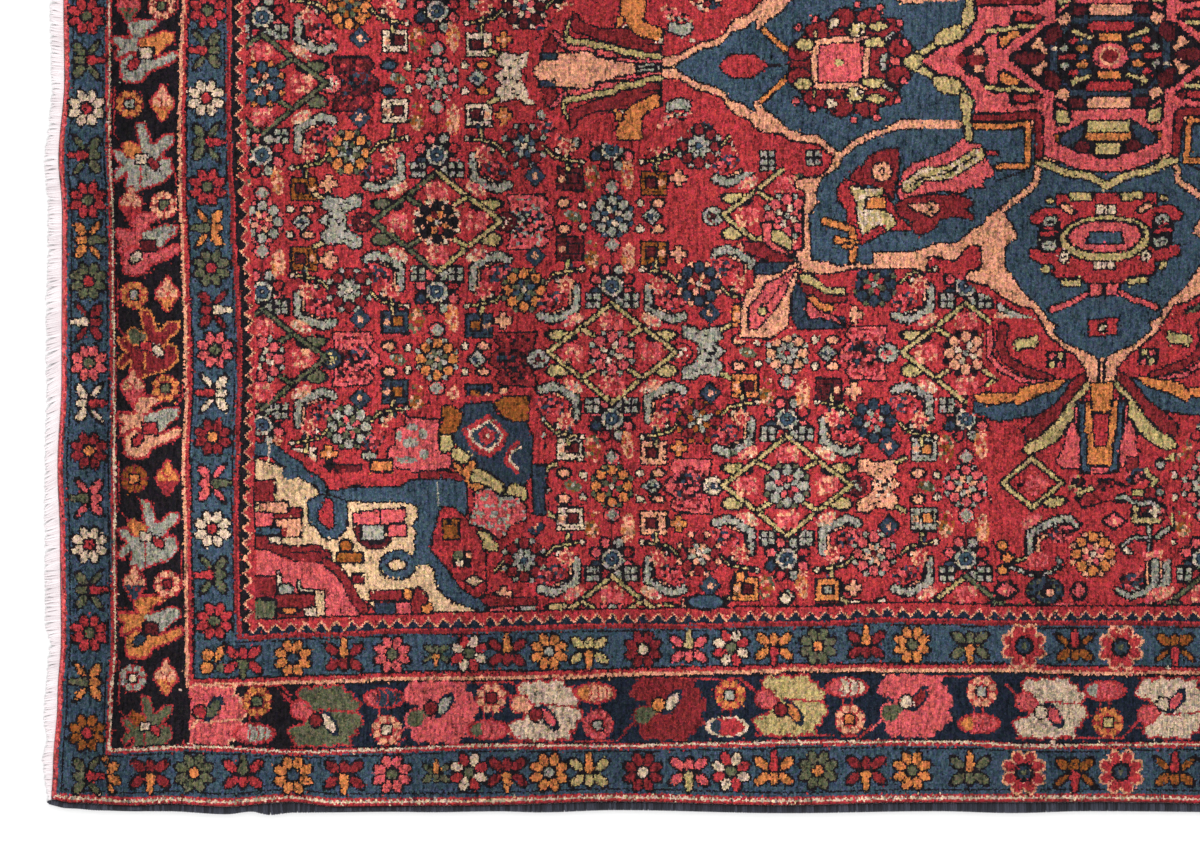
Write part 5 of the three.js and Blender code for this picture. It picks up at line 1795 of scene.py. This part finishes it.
def pileMesh(chart):
    # the top in faces of five by five knots, drawn down at a rounded rim, and a flat underside
    block = rug["block"]
    u, blockX = blockLines(columns // block, rug["halfLength"])
    v, blockY = blockLines(rows // block, rug["halfWidth"])
    x, y = pilePlace(*np.meshgrid(u, v))
    wayIn = np.minimum((nearest(u, 1 - u) * 2 * rug["halfLength"])[None, :],
                       (nearest(v, 1 - v) * 2 * rug["halfWidth"])[:, None])
    ways, heights = zip(*reversed(rug["rim"][:-1]))
    ways, heights = ways + (rug["rimWidth"],), heights + (rug["height"],)
    z = np.interp(wayIn, ways, heights) / rug["height"] * pileLevel(x, y)
    high, wide = x.shape
    top = np.arange(high * wide).reshape(high, wide)
    points = np.concatenate([np.stack([x, y, z], -1).reshape(-1, 3),
                             np.stack([x, y, np.zeros_like(z)], -1).reshape(-1, 3)]) * mm
    upFaces = np.stack([top[:-1, :-1], top[:-1, 1:], top[1:, 1:], top[1:, :-1]], -1).reshape(-1, 4)
    downFaces = upFaces[:, (0, 3, 2, 1)] + high * wide
    around = np.concatenate([top[0, :], top[1:, -1], top[-1, -2::-1], top[-2:0:-1, 0]])
    after = np.roll(around, -1)
    sideFaces = np.stack([around + high * wide, after + high * wide, after, around], -1)
    faces = np.concatenate([upFaces, downFaces, sideFaces])
    mesh = bpy.data.meshes.new("pileMesh")
    mesh.from_pydata(points.tolist(), [], faces.tolist())
    padded = np.pad(chart, 1, mode="edge").astype(np.int64)
    reach = range(block + 2)
    knots = [padded[row:row + rows:block, col:col + columns:block] for row in reach for col in reach]
    channels = [sum(yarnLimit ** k * knot for k, knot in enumerate(knots[first:first + digits]))
                for first in range(0, len(knots), digits)]
    channels = [channel[np.ix_(blockY, blockX)].ravel() for channel in channels]
    knotU = np.repeat((u * columns)[None, :], high, axis=0).ravel()
    knotV = np.repeat((v * rows)[:, None], wide, axis=1).ravel()
    blockU = np.repeat(blockX[None, :], high - 1, axis=0).ravel() * block
    blockV = np.repeat(blockY[:, None], wide - 1, axis=1).ravel() * block
    nearFace = np.zeros(len(faces), int)
    flat = len(upFaces)
    nearFace[:flat] = nearFace[flat:2 * flat] = np.arange(flat)
    col = nearest(around % wide, after % wide, wide - 2)
    row = nearest(around // wide, after // wide, high - 2)
    nearFace[2 * flat:] = row * (wide - 1) + col
    for k, name in enumerate(knotData):
        attribute = mesh.attributes.new(name, "FLOAT_VECTOR", "FACE")
        three = np.stack(channels[3 * k:3 * k + 3], -1)[nearFace]
        attribute.data.foreach_set("vector", three.astype(np.float32).ravel())
    corners = faces % (high * wide)
    places = np.stack([knotU[corners], knotV[corners]], -1)
    starts = np.stack([blockU[nearFace], blockV[nearFace]], -1)[:, None, :]
    for name, values in (("inBlock", places - starts), ("knotPlace", places)):
        layer = mesh.uv_layers.new(name=name)
        layer.data.foreach_set("uv", values.astype(np.float32).ravel())
    mesh.shade_smooth()
    return mesh


pile = bpy.data.objects.new("knotted_pile", pileMesh(chart))
bpy.context.scene.collection.objects.link(pile)
pile.data.materials.append(woolFinish())
dress(pile, "pile")
print("pile made,", len(pile.data.polygons), "faces")


# The overcast cord along each long side, in millimetres
overcast = {
    "reach": 704,
    "height": 6.4,
    "middle": 0.45,
    "pitch": 2.3,
    "strand": 0.17,  # half thickness of the wrapping yarn as a share of the cord's
    "strandLength": 7.6,
    "core": 0.86,
    "step": 4,
    "ringSteps": 14,
    "strandSides": 5,
    "lean": 0.12,  # how far a turn of the yarn may lean, in radians
    "ends": ((3.6, 0.35), (2.4, 0.74), (0, 0.94)),  # rows of way past the corner, share of size
    "coreSides": 12,
    "seed": 3,
    "surface": {"Roughness": 0.92, "Specular IOR Level": 0.15, "Sheen Weight": 0.1},
    "grains": ((900.0, 3.0), (18.0, 3.0)),  # scale and detail of the fibres and of the stains
    "mix": (0.55, 0.4, 0.2, 0.08),  # parts that shade, fibres and stains have, and what comes off
    "colours": ((0.1, (25, 25, 31)), (0.4, (41, 42, 50)), (0.65, (55, 57, 68)), (0.95, (80, 81, 93))),
    "fibreHeight": 0.0004,
    "relief": 0.7,
}
overcastWave = (
    (-985, -6.6), (-972, -4), (-939, -1.7), (-878, -0.9), (-822, 1.9), (-799, -0.6), (-782, 2.7),
    (-760, 0.5), (-673, -0.9), (-632, 0), (-571, -0.9), (-530, 0.2), (-460, -1.9), (-300, 0.9),
    (-160, -0.9), (-90, 0.9), (-20, -0.9), (200, 0.8), (420, -1), (610, 1), (800, -0.8), (930, 0.6),
    (985, -5),
)


def frontCord():
    # the cord's middle line with half its width and height at each point
    count = int(2 * rug["halfLength"] / overcast["step"])
    seam = [pilePlace(k / count, 0.0) for k in range(count + 1)]
    line = [(seam[0][0] - past, seam[0][1], share) for past, share in overcast["ends"]]
    line += [(x, y, 1.0) for x, y in seam[1:-1]]
    line += [(seam[-1][0] + past, seam[-1][1], share) for past, share in reversed(overcast["ends"])]
    points, wide, high = [], [], []
    for x, y, share in line:
        width = overcast["reach"] + wander(overcastWave, x) + y - rug["seam"]
        middle = y - rug["seam"] - width * (overcast["middle"] + (0.5 - overcast["middle"]) * share)
        points.append((x * mm, middle * mm, overcast["height"] / 2 * share * mm))
        wide.append(width / 2 * share * mm)
        high.append(overcast["height"] / 2 * share * mm)
    edges = [(k, k + 1) for k in range(len(points) - 1)]
    return pointMesh("cordLine", points, edges, halfWide=wide, halfHigh=high)


def overcastTree(material, seed):
    # turns of yarn round a core, each leaning its own way
    tree = Tree("overcast", {
        "Pitch": overcast["pitch"] * mm,
        "Strand": overcast["strand"],
        "Strand length": overcast["strandLength"] * mm,
        "Core": overcast["core"],
        "Lean": overcast["lean"],
        "Ring steps": overcast["ringSteps"],
        "Strand sides": overcast["strandSides"],
        "Seed": seed,
        "Material": material,
    })
    line = tree.node("GeometryNodeMeshToCurve", {"Mesh": tree.source.outputs["Geometry"]})
    even = tree.node("GeometryNodeResampleCurve",
                     {"Curve": line, "Length": tree.size("Pitch")}, mode="LENGTH")
    ring = tree.circle(tree.size("Ring steps"), tree.math("SUBTRACT", 1.0, tree.size("Strand")))
    yarn = tree.circle(tree.size("Strand sides"), tree.size("Strand"))
    turn = tree.node("GeometryNodeCurveToMesh", {"Curve": ring, "Profile Curve": yarn})
    turn = tree.node("GeometryNodeTransform", {"Geometry": turn, "Rotation": (0, math.pi / 2, 0)})
    halfHigh = tree.column("halfHigh")
    size = tree.node("ShaderNodeCombineXYZ",
                     {"X": tree.size("Strand length"), "Y": tree.column("halfWide"), "Z": halfHigh})
    tangent = tree.node("GeometryNodeInputTangent")
    facing = tree.node("FunctionNodeAlignRotationToVector", {"Vector": tangent}, axis="X", pivot_axis="Z")
    lean = tree.draw(tree.math("MULTIPLY", tree.size("Lean"), -1.0), tree.size("Lean"))
    turned = tree.node("FunctionNodeAxisAngleToRotation", {"Axis": (0, 0, 1), "Angle": lean})
    facing = tree.node("FunctionNodeRotateRotation", {"Rotation": facing, "Rotate By": turned})
    turns = tree.node("GeometryNodeInstanceOnPoints",
                      {"Points": even, "Instance": turn, "Rotation": facing, "Scale": size})
    core = tree.circle(overcast["coreSides"], tree.size("Core"))
    core = tree.node("GeometryNodeCurveToMesh",
                     {"Curve": line, "Profile Curve": core, "Scale": halfHigh, "Fill Caps": True})
    tree.finish(tree.shaded(turns, "turnShade"), core)
    return tree


cordMaterial = strandFinish("overcastWool", "turnShade", overcast)
for seed, (node, side) in enumerate((("selvedge_front", "front"), ("selvedge_back", "back"))):
    cord = overcastTree(cordMaterial, seed + overcast["seed"]).grow("overcast_" + side, frontCord())
    if side == "back":
        halfTurned(cord.data)
    dress(cord, node)


# The warp ends past the pile, in millimetres
warp = {
    "pitch": 1.8,
    "thick": 1.42,  # half the thickness of one end
    "clear": 3,  # from the selvedge
    "lengthSpread": 1.8,
    "leanSpread": 9,
    "sides": 6,
    "steps": 5,
    "bends": (-0.0008, 0.0, 0.0009),  # how far a kind of end bends to a side
    "rise": (0.0008, 0.0012, 0),  # height of its root, middle and tip
    "taper": 0.45,  # how much thinner the tip is
    "seed": 5,
    "rootSeed": 40,
    "surface": {"Roughness": 0.9, "Specular IOR Level": 0.2},
    "grains": ((1300.0, 3.0), (60.0, 4.0)),
    "mix": (0.4, 0.3, 0.5, 0.1),
    "colours": ((0.1, (216, 206, 209)), (0.45, (236, 227, 229)), (0.9, (250, 245, 247))),
    "fibreHeight": 0.0003,
    "relief": 0.6,
}
warpReach = (
    (-692, 4.5), (-673, 8), (-655, 11), (-636, 8), (-615, 13), (-570, 12), (-545, 11.5), (-525, 15.4),
    (-431, 14.6), (-385, 12.4), (-340, 14.2), (-227, 15.4), (-190, 14), (-97, 13.8), (-70, 12),
    (52, 13.2), (240, 13), (400, 14.6), (560, 13), (692, 7),
)
# degrees towards the front side
warpLean = ((-692, 3), (-600, 14), (-520, 10), (-360, 30), (-134, 6), (52, -8), (300, -20), (692, 6))


def endRoots(seed):
    # the place of each warp end's root, its turn and its reach
    draw = np.random.default_rng(seed)
    clear = rug["halfWidth"] - warp["clear"]
    count = int(2 * clear / warp["pitch"])
    y = -clear + (np.arange(count) + 0.5) * 2 * clear / count
    pileX, _ = pilePlace(0.0, (y + rug["halfWidth"]) / (2 * rug["halfWidth"]))
    reach = wander(warpReach, y) - draw.random(count) * warp["lengthSpread"]
    lean = np.radians(wander(warpLean, y) + draw.normal(0, warp["leanSpread"] / 2, count))
    x = pileX - rug["seam"] - warp["thick"] * 0.4
    points = np.stack([x, y, np.full(count, warp["thick"])], -1) * mm
    long = (reach - rug["seam"]) / np.cos(lean) * mm
    return pointMesh("warpRoots", points.tolist(), (), turn=np.pi + lean, reach=long)


def warpTree(material, seed):
    # one of a few kinds of end on each root, as long as its reach
    tree = Tree("warpEnds", {
        "Thick": warp["thick"] * mm,
        "Sides": warp["sides"],
        "Seed": seed,
        "Material": material,
    })
    yarn = tree.circle(tree.size("Sides"), tree.size("Thick"))
    along = tree.node("GeometryNodeSplineParameter", output="Factor")
    taper = tree.math("SUBTRACT", 1.0, tree.math("MULTIPLY", tree.math("POWER", along, 3.0), warp["taper"]))
    root, middle, tip = warp["rise"]
    kinds = []
    for bend in warp["bends"]:
        curve = tree.node("GeometryNodeCurveQuadraticBezier", {
            "Resolution": warp["steps"],
            "Start": (0, 0, root),
            "Middle": (0.5, bend, middle),
            "End": (1, -bend * 0.6, tip),
        })
        curve = tree.node("GeometryNodeSetCurveRadius", {"Curve": curve, "Radius": taper})
        strand = tree.node("GeometryNodeCurveToMesh",
                           {"Curve": curve, "Profile Curve": yarn, "Scale": taper, "Fill Caps": True})
        kinds.append(tree.node("GeometryNodeGeometryToInstance", {"Geometry": strand}))
    points = tree.node("GeometryNodeMeshToPoints", {"Mesh": tree.source.outputs["Geometry"]})
    facing = tree.node("FunctionNodeAxisAngleToRotation", {"Axis": (0, 0, 1), "Angle": tree.column("turn")})
    size = tree.node("ShaderNodeCombineXYZ", {"X": tree.column("reach"), "Y": 1.0, "Z": 1.0})
    ends = tree.node("GeometryNodeInstanceOnPoints", {
        "Points": points,
        "Instance": tree.joined(*kinds),
        "Pick Instance": True,
        "Instance Index": tree.draw(0, len(kinds) - 1, "INT", 2),
        "Rotation": facing,
        "Scale": size,
    })
    tree.finish(tree.shaded(ends, "endShade"))
    return tree


warpMaterial = strandFinish("warpCotton", "endShade", warp)
for seed, (node, side) in enumerate((("fringe_left", "left"), ("fringe_right", "right"))):
    roots = endRoots(seed + warp["rootSeed"])
    ends = warpTree(warpMaterial, seed + warp["seed"]).grow("warp_ends_" + side, roots)
    if side == "right":
        halfTurned(ends.data)
    dress(ends, node)


# The floor, the light and the camera straight above the photograph's middle
stage = {
    "floor": 3.0,  # from the middle to each side
    "floorLevel": -0.0004,
    "floorSurface": {"Roughness": 0.9, "Base Color": (0.92, 0.92, 0.92, 1)},
    "sky": 0.95,
    "lamp": 1.1,
    "lampTurn": (38, 0, 35),
    "lampSpread": 30,  # how wide the lamp looks from the floor, in degrees
    "cameraHeight": 4.0,
    "sensor": 36,
}
floorMesh = bpy.data.meshes.new("floor")
floorCorners = [(x * stage["floor"], y * stage["floor"], stage["floorLevel"])
                for x, y in ((-1, -1), (1, -1), (1, 1), (-1, 1))]
floorMesh.from_pydata(floorCorners, [], [(0, 1, 2, 3)])
floor = bpy.data.objects.new("floor", floorMesh)
bpy.context.scene.collection.objects.link(floor)
floorMesh.materials.append(Finish("paleFloor", stage["floorSurface"]).material)

bpy.context.scene.view_settings.view_transform = "Standard"
world = bpy.data.worlds.new("light")
bpy.context.scene.world = world
world.use_nodes = True
sky = world.node_tree.nodes["Background"]
sky.inputs["Color"].default_value = (1, 1, 1, 1)
sky.inputs["Strength"].default_value = stage["sky"]
lamp = bpy.data.objects.new("lamp", bpy.data.lights.new("lamp", "SUN"))
lamp.data.energy = stage["lamp"]
lamp.data.angle = math.radians(stage["lampSpread"])
lamp.rotation_euler = [math.radians(turn) for turn in stage["lampTurn"]]
bpy.context.scene.collection.objects.link(lamp)
camera = bpy.data.objects.new("camera", bpy.data.cameras.new("camera"))
bpy.context.scene.collection.objects.link(camera)
bpy.context.scene.camera = camera
pixel = photo["pixel"] * mm
lookX = (photo["wide"] / 2 - photo["middleX"]) * pixel
lookY = (photo["middleY"] - photo["high"] / 2) * pixel
camera.location = (lookX, lookY, stage["cameraHeight"])
camera.data.sensor_width = stage["sensor"]
camera.data.lens = stage["sensor"] * (stage["cameraHeight"] - rug["height"] * mm) / (photo["wide"] * pixel)
